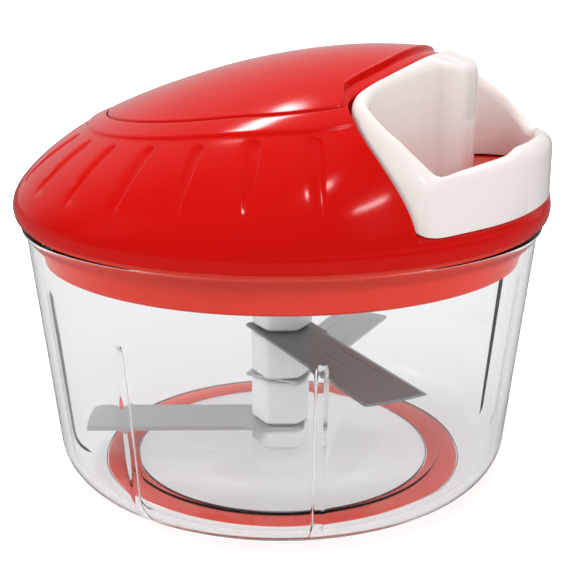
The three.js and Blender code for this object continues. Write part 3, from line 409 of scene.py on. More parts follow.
def moulded(name, colour, drift, gloss, ripple, grain=900.0, mirror=0.5, grey_cast=False):
    """Moulded plastic: the colour drifts to drift, roughness runs between the two gloss values, a fine bump of
    ripple metres breaks the reflections, and mirror says how strong they are. With a grey cast, the light that
    the piece throws on its neighbours is grey, as a photographer's fill card would make it."""
    made, tree, shader, place = new_finish(name)
    broad, fine = noise(tree, place, 38.0, 3.0), noise(tree, place, grain, 2.0)
    tint = add(tree, "ShaderNodeMix", {0: broad, 6: (*colour, 1), 7: (*drift, 1)}, data_type="RGBA").outputs[2]
    if grey_cast:
        path = add(tree, "ShaderNodeLightPath")
        grey = (0.42, 0.42, 0.42, 1)
        tint = add(tree, "ShaderNodeMix", {0: path.outputs["Is Diffuse Ray"], 6: tint, 7: grey},
                   data_type="RGBA").outputs[2]
    bump = add(tree, "ShaderNodeBump", {"Height": fine, "Strength": 0.3, "Distance": ripple})
    wire(tree, shader, {"Base Color": tint, "Roughness": ranged(tree, broad, 0.3, 0.7, *gloss),
                        "Normal": bump.outputs["Normal"], "Specular IOR Level": mirror})
    return made


gloss_red = moulded("gloss_red", (0.570, 0.0045, 0.0025), (0.540, 0.0035, 0.0020), (0.09, 0.15), 2e-6,
                    mirror=0.32)
dull_red = moulded("dull_red", (0.780, 0.046, 0.024), (0.740, 0.042, 0.022), (0.34, 0.45), 8e-6,
                   mirror=0.2, grey_cast=True)
rubber_red = moulded("rubber_red", (0.950, 0.130, 0.090), (0.920, 0.120, 0.085), (0.55, 0.7), 2e-5, 1600.0,
                     mirror=0.2)
gloss_white = moulded("gloss_white", (0.850, 0.790, 0.760), (0.830, 0.765, 0.735), (0.12, 0.2), 2e-6)
satin_white = moulded("satin_white", (0.880, 0.890, 0.895), (0.850, 0.860, 0.865), (0.35, 0.48), 8e-6)
dark_plastic = moulded("dark_plastic", (0.070, 0.074, 0.082), (0.055, 0.058, 0.064), (0.4, 0.55), 1e-5)
print("plastics:", [m.name for m in bpy.data.materials])

# %% [markdown]
# ## Clear plastic
# The bowl bends light like glass, which draws the bright double lines of its ribs and base. Lamps couldn't
# shine through bent light in a short render, so for shadow rays alone the wall counts as plainly see-through.

# %% Clear bowl finish
clear, tree, shader, place = new_finish("clear_bowl")
rough = ranged(tree, noise(tree, place, 45.0, 4.0), 0.35, 0.7, 0.0, 0.03)
wire(tree, shader, {"Base Color": (0.94, 0.945, 0.95, 1), "IOR": 1.2, "Transmission Weight": 1.0,
                    "Roughness": rough})
path = add(tree, "ShaderNodeLightPath")
passing = add(tree, "ShaderNodeBsdfTransparent", {"Color": (0.95, 0.955, 0.955, 1)})
mixed = add(tree, "ShaderNodeMixShader", {0: path.outputs["Is Shadow Ray"], 1: shader.outputs[0],
            2: passing.outputs[0]})
wire(tree, tree.nodes["Material Output"], {"Surface": mixed.outputs[0]})
print("clear plastic ready")

# %% [markdown]
# ## Steel and cord
# The blades are rolled strip, so fine lines run along them. Noise that is stretched along the blade draws
# the lines, and a Mapping node turns it to each blade's own direction. The cord's braid follows its length.

# %% Steel and cord finishes
def brushed(name, turn, colour=0.47, metal=1.0, painted_red_scale=0.95):
    """Brushed steel: noise drawn out along the direction turn, in radians, shifts roughness and height. A low
    metal share reflects the red lid less, as the haze of a used blade does. The last argument scales the
    colour's red down, a painted offset of the red light that the lid throws on the steel, and colour sets the
    brightness, which is lowered as painted shade for a blade in shade."""
    made, tree, shader, place = new_finish(name)
    spin = add(tree, "ShaderNodeMapping", {"Vector": place, "Rotation": (0, 0, -turn)})
    draw = add(tree, "ShaderNodeMapping", {"Vector": spin.outputs["Vector"], "Scale": (25, 1600, 400)})
    lines = noise(tree, draw.outputs["Vector"], 1.0, 3.0)
    shade = ranged(tree, lines, 0.3, 0.7, 0.94 * colour, 1.04 * colour)
    # The colour's red is scaled down here, a painted offset of the red light from the lid.
    painted_steel_tone = add(tree, "ShaderNodeVectorMath", {0: shade, 1: (painted_red_scale, 1.0, 1.01)}, operation="MULTIPLY")
    bump = add(tree, "ShaderNodeBump", {"Height": lines, "Strength": 0.25, "Distance": 4e-6})
    wire(tree, shader, {"Base Color": painted_steel_tone.outputs["Vector"], "Normal": bump.outputs["Normal"],
                        "Roughness": ranged(tree, lines, 0.3, 0.7, 0.26, 0.4), "Metallic": metal})
    return made


steel = brushed("steel_plain", 0.0)
braid, tree, shader, place = new_finish("braided_cord")
over = add(tree, "ShaderNodeTexWave", {"Vector": place, "Scale": 420.0, "Distortion": 1.2},
           bands_direction="DIAGONAL").outputs["Fac"]
bump = add(tree, "ShaderNodeBump", {"Height": over, "Strength": 0.6, "Distance": 1e-4})
wire(tree, shader, {"Base Color": ranged(tree, over, 0.0, 1.0, 0.42, 0.72), "Normal": bump.outputs["Normal"],
                    "Roughness": 0.75})
pull_cord.data.materials.append(braid)
print("materials:", len(bpy.data.materials))

# %% [markdown]
# ## The bowl
# The bowl is one moulding: a tapered wall on a large rounded foot, a thick lip, a floor with a raised pad,
# and six slim ribs inside that stop the food from turning with the blades. A turned profile gives the wall,
# and the ribs push the inner wall inwards, on columns that are packed closer where a rib stands. Ribs joined
# on as separate bars would leave seams, which clear plastic shows at once.

# %% Columns with features
def smooth(x):
    """An even step from 0 to 1: 3 x^2 - 2 x^3."""
    x = np.clip(x, 0, 1)
    return x**2 * (3 - 2 * x)


def feature_columns(middles, inside, gaps):
    """Columns of a round grid with features, such as ribs, at the angles middles. Each column holds two
    anchors (middle, side of the feature) and a share f between them; inside a feature both are the same."""
    v = np.linspace(-1, 1, inside)
    last = np.roll(middles, -1)
    last[-1] += TAU
    parts = []
    for middle, beyond, gap in zip(middles, last, gaps):
        f = np.linspace(0, 1, gap + 2)[1:-1]
        own = np.stack([middle + 0 * v, v, middle + 0 * v, v, 0 * v])
        between = np.stack([middle + 0 * f, 1 + 0 * f, beyond + 0 * f, -1 + 0 * f, f])
        parts += [own, between]
    return np.concatenate(parts, axis=1)


def feature_angles(columns, half_turn):
    """The columns' angles where a feature spans half_turn to each side: (m0 + v0 h)(1 - f) + (m1 + v1 h) f."""
    m0, v0, m1, v1, f = columns
    return (m0 + v0 * half_turn) * (1 - f) + (m1 + v1 * half_turn) * f


print("column helpers ready")


# %% Bowl profile
bowl_foot_radius, bowl_rim_radius, wall, fillet = 53.7, 60.15, 2.0, 9.6
taper = math.atan((bowl_rim_radius - bowl_foot_radius) / (rim_z - foot_z))
ring_outer, ring_inner, groove_gap, groove_depth = 43.8, 36.3, 0.3, 0.8
lip_height, lip_proud = 2.6, 0.85
pad_radius, pin_seat, pin_depth = 39.2, 2.8, 1.2
axis_gap, fillet_top = 0.5, 12


def bowl_radius(z):
    """The wall's outside radius grows evenly with height: foot radius + height x tan(taper)."""
    return bowl_foot_radius + (z - foot_z) * math.tan(taper)


def fillet_arc(radius, lowest, inset, steps=16):
    """A quarter round that is tangent to the floor below and to the tapered wall beside it."""
    a = np.linspace(-math.pi / 2, -taper, steps)
    r = bowl_radius(lowest + radius) - inset - radius / math.cos(taper)
    return np.stack([r + radius * np.cos(a), lowest + radius + radius * np.sin(a)], axis=1)


outer_foot = eased([[axis_gap, foot_z], [ring_inner - groove_gap, foot_z],
                    [ring_inner - groove_gap, foot_z + groove_depth],
                    [ring_outer + groove_gap, foot_z + groove_depth], [ring_outer + groove_gap, foot_z],
                    [ring_outer + 4 * groove_gap, foot_z]], 0.2, 4, closed=False)
outer_fillet = fillet_arc(fillet, foot_z, 0)[2:]
lip_r, lip_low = bowl_rim_radius + lip_proud, rim_z - lip_height
outer_wall = np.stack([bowl_radius(z := np.linspace(fillet_top, lip_low - 1, 30)), z], axis=1)
lip = eased([outer_wall[-1], [bowl_radius(lip_low), lip_low], [lip_r, lip_low + 1.5], [lip_r, rim_z],
             [bowl_rim_radius - wall, rim_z], [bowl_radius(rim_z - 4) - wall, rim_z - 4]],
            [0.1, 0.5, 0.5, 0.5, 0.4, 0.1], 6, closed=False)[1:]
inner_wall = np.stack([bowl_radius(z := np.linspace(rim_z - 5, fillet_top - 1, 60)) - wall, z], axis=1)
inner_fillet = fillet_arc(fillet - wall, floor_z, wall / math.cos(taper), 20)[::-1]
pad = eased([inner_fillet[-1], [pad_radius, floor_z], [pad_radius - pad_height, pad_z], [pin_seat, pad_z],
             [pin_seat, pad_z - pin_depth], [axis_gap, pad_z - pin_depth]],
            [0.1, 0.15, 0.15, 0.1, 0.1, 0.1], 4, closed=False)[1:]
outer_half = np.vstack([outer_foot, outer_fillet, outer_wall, lip])
bowl_profile = np.vstack([outer_half, inner_wall, inner_fillet, pad])
print("bowl profile points:", len(bowl_profile))


# %% Bowl with its ribs
rib_width, rib_height, rib_foot, rib_end = 2.7, 44.8, 1.2, 3.2
columns = feature_columns(np.radians([35, 80, 125, 215, 260, 305]), 15, [24, 24, 46, 24, 24, 46])
r, z = bowl_profile[:, :1], bowl_profile[:, 1:]
a = feature_angles(columns, 1.15 * rib_width / 2 / np.maximum(r, 20))
row = np.arange(len(r))[:, None] - len(outer_half)
on_wall = (row >= 0) & (row < len(inner_wall) + len(inner_fillet))
across = np.where(columns[4] == 0, np.abs(columns[1]), 1.0)
ridge = 1 - smooth((across - 0.45) / 0.5)
top_end = smooth((foot_z + rib_height - z) / rib_end)
foot_end = np.clip((z - floor_z - 0.05) / rib_foot, 0, 1)
# A rib stands 0.55 mm proud at its foot and 1 mm at its top.
proud = (0.55 + 0.45 * np.clip((z - foot_z) / rib_height, 0, 1)) * ridge * top_end * foot_end * on_wall
slope = np.gradient(bowl_profile, axis=0)
slope /= np.linalg.norm(slope, axis=1, keepdims=True)
r2, z2 = r + proud * slope[:, 1:], z - proud * slope[:, :1]
bowl = skin("bowl_clear_shell", np.stack([r2 * np.cos(a), r2 * np.sin(a), z2 + 0 * a], axis=-1), crease=40)
bowl.data.materials.append(clear)
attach(bowl, "bowl")
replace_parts(bowl, "bowl")
print("bowl faces:", len(bowl.data.polygons))

# %% [markdown]
# ## The ring under the bowl
# A soft red ring keeps the bowl from sliding. It is pressed into a groove, stands a little proud of the
# plastic, and has a fine groove of its own, which shows as a thin line through the clear floor. A bare torus
# would be quicker, but a turned profile takes the groove and the softened edges in one go.

# %% Base ring
ring_top = foot_z + 0.5
# Each pair is how far out of the ring's inner edge, and how high over the ground.
underside = np.array([[0.4, 0], [2.2, 0], [2.5, 0.25], [2.9, 0.25], [3.2, 0]]) + [ring_inner, 0]
ring_profile = eased([*underside, [ring_outer - 0.4, 0], [ring_outer, 0.4], [ring_outer, ring_top],
                      [ring_inner, ring_top], [ring_inner, 0.4]], 0.1, 4)
base_ring = skin("base_ring_soft", turned(ring_profile, 200), loop=True)
base_ring.data.materials.append(rubber_red)
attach(base_ring, "bowl")
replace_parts(base_ring, "base_ring")
print("ring faces:", len(base_ring.data.polygons))

# %% [markdown]
# ## The lid base and its seal
# Under the dome a shallow dish drops into the bowl and closes it. Its skirt carries a soft seal, and its
# flange rests on the bowl's lip, back from the dome's edge, so that a dark line parts lid and bowl. Both are
# turned profiles, the quickest way to anything round, and cylinders cut the four screw holes as a drill would.

# %% Lid base
skirt_r, skirt_wall, flange_r, plate_thickness, hub_hole = 56.2, 1.8, 60.9, 2.0, 8.3
plate_z, flange_z = skirt_z + plate_thickness, rim_z + seat_gap
base_corners = [[hub_hole, skirt_z], [skirt_r - 0.6, skirt_z], [skirt_r, skirt_z + 0.6], [skirt_r, flange_z],
                [flange_r, flange_z], [flange_r, flange_top_z], [skirt_r - skirt_wall, flange_top_z],
                [skirt_r - skirt_wall, plate_z], [hub_hole, plate_z]]
base_profile = eased(base_corners, [0.2, 0.3, 0.3, 0.3, 0.3, 0.3, 0.3, 0.6, 0.2], 5)
lid_base = skin("lid_base_dish", turned(base_profile, 200), loop=True)
screw_circle, screw_hole, head_hole, head_depth = 44, 1.8, 3.3, 1.4
a = np.radians([65, 140, 220, 295])
screw_places = screw_circle * np.stack([np.cos(a), np.sin(a)], axis=1)
for n, (x, y) in enumerate(screw_places):
    combine(lid_base, cylinder(f"hole_{n}", screw_hole, skirt_z - 1, plate_z + 1, x, y))
    combine(lid_base, cylinder(f"head_{n}", head_hole, skirt_z - 1, skirt_z + head_depth, x, y))
lid_base.data.materials.append(dull_red)
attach(lid_base, "lid")
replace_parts(lid_base, "lid_base")

seal_low, seal_high = span("lid_seal")
seal_inner, seal_outer, seal_lead = skirt_r + 0.3, 57.7, 0.6
seal_profile = eased([[seal_inner, seal_low[2]], [seal_outer - seal_lead, seal_low[2]],
                      [seal_outer, seal_low[2] + 0.8], [seal_outer, seal_high[2]], [seal_inner, seal_high[2]]],
                     0.2, 5)
lid_seal = skin("lid_seal_soft", turned(seal_profile, 200), loop=True)
lid_seal.data.materials.append(rubber_red)
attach(lid_seal, "lid")
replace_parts(lid_seal, "lid_seal")
print("lid base faces:", len(lid_base.data.polygons))

# %% [markdown]
# ## The handle's outline
# The handle is a closed loop, and the notch in the lid follows it with a small gap. Both come from the same
# few points, taken as shares of the handle's length and half width, with a smooth curve through them. A loop
# of straight lines and arcs could do it too, but its joins would show in the gloss.

# %% Smooth curves
def along_table(table, place):
    """A smooth curve through a table of [place, value]: on each stretch a cubic whose end slopes are those
    between the neighbours on both sides."""
    xs, ys = np.asarray(table, float).T
    slopes = np.empty_like(ys)
    slopes[1:-1] = (ys[2:] - ys[:-2]) / (xs[2:] - xs[:-2])
    slopes[0], slopes[-1] = (ys[1] - ys[0]) / (xs[1] - xs[0]), (ys[-1] - ys[-2]) / (xs[-1] - xs[-2])
    n = np.clip(np.searchsorted(xs, place, side="left") - 1, 0, len(xs) - 2)
    w = xs[n + 1] - xs[n]
    t = np.clip((place - xs[n]) / w, 0, 1)
    return ((2 * t**3 - 3 * t**2 + 1) * ys[n] + (t**3 - 2 * t**2 + t) * w * slopes[n]
            + (3 * t**2 - 2 * t**3) * ys[n + 1] + (t**3 - t**2) * w * slopes[n + 1])


def closed_curve(points, steps):
    """A closed curve through points, steps to a stretch: a cubic on each stretch whose end slopes allow for the
    square root of the distance to the neighbours, which keeps close points from looping."""
    p0, p1, p2, p3 = (np.roll(points, shift, axis=0) for shift in (1, 0, -1, -2))
    d0, d1, d2 = (np.sqrt(np.linalg.norm(b - a, axis=1, keepdims=True))
                  for a, b in ((p0, p1), (p1, p2), (p2, p3)))
    m1 = ((p1 - p0) / d0 - (p2 - p0) / (d0 + d1) + (p2 - p1) / d1) * d1
    m2 = ((p2 - p1) / d1 - (p3 - p1) / (d1 + d2) + (p3 - p2) / d2) * d1
    t = np.linspace(0, 1, steps, endpoint=False)[None, :, None]
    p1, p2, m1, m2 = (v[:, None] for v in (p1, p2, m1, m2))
    curve = p1 + m1 * t + (-3 * p1 + 3 * p2 - 2 * m1 - m2) * t**2 + (2 * p1 - 2 * p2 + m1 + m2) * t**3
    return curve.reshape(-1, 2)


def outwards(curve):
    """Unit vectors across a closed curve that runs clockwise, to its outside: (-dy, dx)."""
    d = np.roll(curve, -1, axis=0) - np.roll(curve, 1, axis=0)
    d /= np.linalg.norm(d, axis=1, keepdims=True)
    return np.stack([-d[:, 1], d[:, 0]], axis=1)


print("curve helpers ready")


# %% Handle loops
handle_rear, handle_length, handle_half, handle_front = 37.1, 24.9, 37.6, 62.0
handle_wall, front_angle, notch_gap = 4.0, math.radians(34.8), 0.8


def handle_points(shares, arc_shares, arc_radius):
    """Half of the loop from its shares, an arc about the blade axis, and the same mirrored."""
    bent = np.array(shares) * [handle_length, handle_half] + [handle_rear, 0]
    a = np.array(arc_shares) * front_angle
    half = np.vstack([bent, arc_radius * np.stack([np.cos(a), np.sin(a)], axis=1)])
    return np.vstack([half, half[-2:0:-1] * [1, -1]])


outside_points = handle_points(
    [[0, 0], [-0.004, 0.096], [-0.012, 0.17], [-0.028, 0.253], [-0.06, 0.386], [-0.133, 0.545], [-0.221, 0.686],
     [-0.255, 0.766], [-0.213, 0.851], [-0.076, 0.931], [0.096, 0.981], [0.277, 1], [0.454, 0.989],
     [0.554, 0.941]], [0.816, 0.546, 0.273, 0], handle_front)
opening_points = handle_points(
    [[0.345, 0], [0.325, 0.135], [0.23, 0.205], [0.125, 0.245], [0.072, 0.359], [-0.02, 0.521], [-0.108, 0.652],
     [-0.133, 0.726], [-0.092, 0.809], [-0.004, 0.862], [0.141, 0.892], [0.297, 0.886], [0.446, 0.843],
     [0.574, 0.8]], [0.6, 0.4, 0.2, 0], handle_front - handle_wall)
outside = closed_curve(outside_points, 10)
opening = closed_curve(opening_points, 10)


def notch_outline(gap):
    """The handle's outline moved out by a gap as far as it widens, then straight out past the lid's edge."""
    grown = (outside + outwards(outside) * gap)[: len(outside) // 2]
    widest = int(np.argmax(grown[:, 1]))
    rear = grown[: widest + 1]
    wide, reach = grown[widest, 1], dome_radius + 6
    side = np.stack([np.linspace(rear[-1, 0], reach, 25)[1:], np.full(24, wide)], axis=1)
    front = np.stack([np.full(29, reach), np.linspace(wide, -wide, 31)[1:-1]], axis=1)
    return np.vstack([rear, side, front, side[::-1] * [1, -1], rear[:0:-1] * [1, -1]])


print("handle loop points:", len(outside), "notch points:", len(notch_outline(notch_gap)))

# %% [markdown]
# ## The dome
# The lid's shell is a low asymmetric dome: highest behind the handle, sloping away to the far side, with a
# recess for the top panel, a raised band round it, and nineteen scooped flutes that give wet hands a grip.
# One height formula serves the dome, the panel and the handle, so they stay in line with each other. A form
# sculpted by hand would look alive, but nothing else could be set on it so exactly.

# %% Dome height
# The dome's outline along X: places as shares of its radius, heights as shares of its rise.
crest = [[-1, 0], [-0.96, 0.132], [-0.88, 0.263], [-0.8, 0.374], [-0.704, 0.485], [-0.64, 0.538],
         [-0.48, 0.658], [-0.32, 0.76], [-0.16, 0.848], [0, 0.915], [0.16, 0.965], [0.32, 0.994], [0.48, 1],
         [0.576, 0.988], [0.72, 0.877], [0.88, 0.556], [1, 0]]
dome_rise, arch_power, recess, band_rise, band_width = 34.2, 0.7, 1.8, 0.5, 4.0
panel_radius, panel_gap = 40.2, 0.3
notch_level, sill_level, sill_reach = 5.5, 1.1, 5.0


def dome_height(x, y):
    """Height over the base plane: the crest's share at x times (1 - (y / half span)^2)^0.7, a rounded arch."""
    u = np.clip(x / dome_radius, -1, 1)
    half_span = np.sqrt(np.maximum(1 - u**2, 1e-9)) * dome_radius
    across = np.minimum((y / half_span) ** 2, 1)
    return dome_base_z + dome_rise * along_table(crest, u) * (1 - across) ** arch_power


def panel_reach(angle):
    """The top panel's plain outline: a circle that swells by a tenth towards the handle."""
    turn = np.abs(np.arctan2(np.sin(angle), np.cos(angle))) / math.pi
    table = [[0, 1.1], [0.24, 1.1], [0.28, 1.085], [0.34, 1.05], [0.42, 1.01], [0.5, 1], [1, 1]]
    return panel_radius * along_table(table, turn)


def notch_floor(radius):
    """The notch floor is level as far as sill_reach from the lid's edge, and slopes down evenly from there to a
    low sill at the edge."""
    rise = np.clip((dome_radius - radius) / sill_reach, 0, 1)
    return dome_base_z + sill_level + (notch_level - sill_level) * rise


def notch_block(name, grow):
    """The notch as a solid: its outline shrunk in shares about an inner point, with the cone below and a flat
    top above the dome."""
    outline = notch_outline(notch_gap + grow)
    middle, above = np.array([50.0, 0.0]), 108.0
    shares = np.linspace(0.02, 1, 40)[:, None, None]
    plan = middle + (outline[None] - middle) * shares
    low = notch_floor(np.hypot(plan[..., 0], plan[..., 1])) - grow
    bottom = np.concatenate([plan, low[..., None]], axis=-1)
    coarse = plan[::-13]
    top = np.concatenate([coarse, np.full((*coarse.shape[:2], 1), above)], axis=-1)
    return skin(name, np.concatenate([bottom, top]))


print("dome's height over the blade axis:", round(float(dome_height(0.0, 0.0)), 2))


# %% Dome columns and panel recess
flute_half, flute_depth, edge_width = 1.7, 0.62, 2.5
flute_top, flute_foot = panel_radius + band_width + 2.4, dome_radius - edge_width
middles = math.pi + np.arange(-9, 10) * math.radians(13.8)
columns = feature_columns(middles, 13, [5] * 18 + [110])
v = np.where(columns[4] == 0, columns[1], 1.0)
fixed = feature_angles(columns, flute_half / flute_top)
reach = panel_reach(fixed)[None]


def on_dome(radius, angle, rise):
    """Points at a radius and an angle, on the dome's height plus a rise."""
    x, y = radius * np.cos(angle), radius * np.sin(angle)
    return np.stack([x, y, dome_height(x, y) + rise], axis=-1)


s = np.array([0.02, 0.1, 0.2, 0.3, 0.4, 0.5, 0.6, 0.7, 0.8, 0.88, 0.94, 0.98, 1.0])[:, None]
floor_rows = on_dome(s * (reach + panel_gap), fixed, -recess)
# The band's profile: how far out of the recess's edge, and how high over the dome.
out = np.array([0.0, 0.0, 0.1, 0.25, 0.7, 1.4, 2.2, 3.0, 3.7, 4.1, 4.3, 4.42, 4.55, 4.75, 5.1])
lift = np.array([-1.2, 0.25, 0.35, 0.4, 0.42, 0.43, 0.44, 0.45, 0.46, 0.45, 0.4, 0.28, 0.12, 0.03, 0.0])
band_rows = on_dome(reach + panel_gap + out[:, None], fixed, lift[:, None])
print("dome columns:", columns.shape[1])


# %% Flutes
blunt, band_foot = 0.14, out[-1] + 0.5
share = np.concatenate([np.linspace(0.0, blunt, 9), np.linspace(0.18, 0.9, 22), np.linspace(0.92, 1.0, 6)])
share = share[:, None]
# A flute starts with a round end, and then narrows to half its width.
round_end = np.sqrt(np.clip(1 - (1 - share / blunt) ** 2, 0.04, 1))
narrowing = 1 - 0.5 * np.clip((share - blunt) / (1 - blunt), 0, 1) ** 1.6
plan_width = np.where(share < blunt, round_end, narrowing)
first_radius = np.maximum(flute_top, reach + band_foot)
mean_radius = flute_top + (flute_foot - flute_top) * share
angle = feature_angles(columns, flute_half * plan_width / mean_radius)
radius = first_radius + (flute_foot - first_radius) * share
fade = np.clip((1 - share) / 0.35, 0, 1)
steeper = 1 + 0.4 * v * np.sign(fixed - math.pi)
scoop = flute_depth * (1 - v**2) * steeper * np.sqrt(np.clip(share / 0.12, 0, 1)) * fade * (2 - fade)
flute_rows = on_dome(radius, angle, -scoop)
print("flutes:", len(middles))


# %% Dome edge
angle = angle[-1:]
t = np.linspace(0, 1, 13)[1:, None]
edge_radius = dome_radius - edge_width * (1 - t) ** 2.2 + 0 * angle
edge_rows = on_dome(edge_radius, angle, 0)
# The edge draws in by a quarter of a percent, to meet the rim below it.
edge_rows[..., :2] *= 1 - 0.0026 * (((edge_radius - flute_foot) / edge_width) ** 2)[..., None]
lip_z = dome_edge_z - 0.8
rim_profile = [[62.44, dome_base_z - 0.4], [62.49, dome_base_z - 0.9], [62.47, dome_base_z - 1.5],
               [62.4, dome_base_z - 2.1], [62.28, dome_edge_z], [62.15, lip_z + 0.35], [61.95, lip_z + 0.1],
               [61.7, lip_z], [61.4, lip_z], [61.25, lip_z + 0.15], [61.2, dome_edge_z], [60.3, dome_edge_z]]
rim_radius, rim_height = np.array(rim_profile).T[..., None]
rim_rows = np.stack([rim_radius * np.cos(angle), rim_radius * np.sin(angle), rim_height + 0 * angle], axis=-1)
outer = np.concatenate([floor_rows, band_rows, flute_rows, edge_rows, rim_rows])
dome = skin("lid_dome_shell", outer, crease=24)
print("dome outside faces:", len(dome.data.polygons))

# %% [markdown]
# ## Hollowing the dome
# The shell is hollow so that the reel fits in. The inside is a plainer dome, held back from the notch so
# that a wall stays round it, and four posts and a boss reach down for the screws and the axle. Cutting and
# joining closed meshes keeps each of these forms simple, where one grid for all of them would be a puzzle.

# %% Dome inside, notch and posts
def turned_along_x(profile, sides):
    """A profile of [radius, distance] turned about the cord's own line, which runs along X at the cord's
    height: (x, y, z) = (distance, r sin a, r cos a + cord height)."""
    return turned(profile, sides)[..., [2, 1, 0]] + np.array([0, 0, cord_z])


shell, recess_edge, inner_margin = 2.3, 44.2, 2
a = np.linspace(0, TAU, 120, endpoint=False)[None]
s = np.array([0.02, 0.15, 0.3, 0.45, 0.6, 0.7, 0.78, 0.85, 0.9, 0.94, 0.97, 0.985])[:, None]
deep = shell + np.where(s * dome_radius < recess_edge, recess, 0.0)
x, y = s * dome_radius * np.cos(a), s * dome_radius * np.sin(a)
shrink = (dome_radius - inner_margin) / dome_radius
hollow = np.stack([x * shrink, y * shrink, dome_height(x, y) - deep], axis=-1)
low_ring = hollow[-1:].copy()
low_ring[..., 2] = dome_edge_z - 1
inside = skin("dome_inside", np.concatenate([hollow, low_ring]))
combine(inside, notch_block("notch_grown", 2.0))
steps = [(inside, "DIFFERENCE"), (notch_block("notch", 0.0), "DIFFERENCE")]

post_radius, bore_top, boss_radius, boss_low, axle_hole, axle_top = 3.6, skirt_z + 12.3, 6.5, 89.5, 2.8, 94.2
for n, (x, y) in enumerate(screw_places):
    post = cylinder(f"post_{n}", post_radius, plate_z + seat_gap, float(dome_height(x, y)) - 2.5, x, y)
    bore = cylinder(f"bore_{n}", screw_hole, plate_z - 1, bore_top, x, y)
    steps += [(post, "UNION"), (bore, "DIFFERENCE")]
boss = cylinder("boss", boss_radius, boss_low, float(dome_height(0.0, 0.0)) - 3)
steps += [(boss, "UNION"), (cylinder("boss_bore", axle_hole, boss_low - 1, axle_top), "DIFFERENCE"),
          (skin("guide_hole", turned_along_x([[3.5, 26.4], [3.5, 38.0]], 48)), "DIFFERENCE")]
for tool, how in steps:
    combine(dome, tool, how, crease=24)
dome.data.materials.append(gloss_red)
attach(dome, "lid")
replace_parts(dome, "lid_dome")
print("dome faces:", len(dome.data.polygons))

# %% [markdown]
# ## The top panel
# A separate glossy panel fills the recess. Its edge is rounded over. At the handle it steps down to a low
# ledge that follows the notch, because a moulder keeps the wall thin there. Seen from the axis the outline
# is one distance for each direction, so the panel is a round grid: shares of that distance for the top, then
# the edge, then the underside. Cutting a disc with the notch would leave a sharp edge to round over again.

# %% Top panel
rim = notch_outline(notch_gap)
rim = rim[: len(rim) // 2]
rim_angle = np.arctan2(rim[:, 1], rim[:, 0])
corner_at = int(np.argmax(rim_angle))
a = np.linspace(-math.pi, math.pi, 721)[:-1]
notch_reach = np.interp(np.abs(a), rim_angle[: corner_at + 1], np.hypot(*rim[: corner_at + 1].T), right=1e3)
edge_reach = np.minimum(panel_reach(a), notch_reach)[None]
at_notch = (notch_reach < panel_reach(a)).astype(float)
blur = range(-3, 4)
at_notch = sum(np.roll(at_notch, shift) for shift in blur) / len(blur)

# The edge's profile, as distances in and down: a plain rounding of 0.45 mm, or the ledge at the notch.
edge_soft = 0.45
q = np.radians(np.linspace(10, 90, 12))
plain_in, plain_down = edge_soft * (1 - np.sin(q)), edge_soft * (1 - np.cos(q))
ledge_in = np.array([3.6, 3.45, 3.3, 3.18, 3.1, 3.05, 2.9, 2.4, 1.4, 0.5, 0.15, 0.0])
ledge_down = np.array([0.0, 0.03, 0.12, 0.3, 0.6, 0.9, 1.15, 1.22, 1.25, 1.28, 1.34, 1.5])
inset = plain_in[:, None] + (ledge_in - plain_in)[:, None] * at_notch
down = plain_down[:, None] + (ledge_down - plain_down)[:, None] * at_notch
shares, low_shares = np.linspace(0.02, 1, 44)[:, None], np.array([1.0, 0.98, 0.8, 0.5, 0.2, 0.02])[:, None]
panel_top = on_dome(shares * (edge_reach - inset[:1]), a[None], band_rise)
panel_edge = on_dome(edge_reach - inset, a[None], band_rise - down)
under = on_dome(low_shares * edge_reach, a[None], 2 * panel_gap - recess)
panel = skin("top_panel_gloss", np.concatenate([panel_top, panel_edge, under]))
panel.data.materials.append(gloss_red)
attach(panel, "lid")
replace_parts(panel, "top_panel")
print("panel faces:", len(panel.data.polygons))

# %% [markdown]
# ## The handle
# The handle is a wall swept round the loop. Its top follows the dome's own height, so that with the handle
# in place the lid reads as one shape, and its edges are rounded for the fingers. Only the front wall keeps a
# level of its own, a little lower at its ends, with a soft bend where each side comes down to it. The thick
# part at the rear is a post for the cord. A bevelled box would be quick, but no edge here is straight.

# %% Handle heights
def handle_top(p):
    """The dome's height above a point, where a radius r past the front wall's middle counts as
    r / (1 + (r / 59.2)^30)^(1 / 30), which levels out there."""
    radius = np.hypot(p[..., 0], p[..., 1])
    inward = (1 + (radius / 59.2) ** 30) ** (-1 / 30)
    return dome_height(p[..., 0] * inward, p[..., 1] * inward) + 0.5


edge_round, side_crown, front_level, front_fall = 1.7, 1.6, 14.7, 1.9
post_rise, bend_rise, bend_x, bend_width = 1.4, 1.1, 47.3, 2.6
ahead, aside = opening[:, 0], np.abs(opening[:, 1])
at_side = smooth((aside - 27) / 6)
at_front = np.where((ahead > 50) | (aside > 15), smooth((ahead - 43) / 9), 0)
post_lift = post_rise * smooth((ahead - 38.5) / 6.5) * smooth((12 - aside) / 5)
bend_lift = bend_rise * at_side * np.exp(-(((ahead - bend_x) / bend_width) ** 2))
front_rim = dome_base_z + front_level - front_fall * (aside / 28) ** 2
high_in = (handle_top(opening) * (1 - at_front) + front_rim * at_front + post_lift + bend_lift)[:, None]
high_out = (handle_top(outside) * (1 - at_front) + (front_rim - 0.6) * at_front + bend_lift)[:, None]
front_bulge = (0.9 + 0.4 * smooth((aside - 20) / 8)) * at_front
bulge = (at_side * (1 - at_front))[:, None] * ((high_in - high_out) / 2 + side_crown) + front_bulge[:, None]


def wall_top(w):
    """Height at a share w of the wall's thickness, from outside to inside: a straight line between the two
    rims, high_out + (high_in - high_out) w, and an arch 4 w (1 - w) over it."""
    return high_out + (high_in - high_out) * w + bulge * 4 * w * (1 - w)


print("handle's rims between", round(float(high_out.min()), 1), "and", round(float(high_in.max()), 1))


# %% Pull handle
across = opening - outside
thick = np.linalg.norm(across, axis=1)[:, None]
over = across / thick
q = np.radians(np.linspace(0, 90, 8))


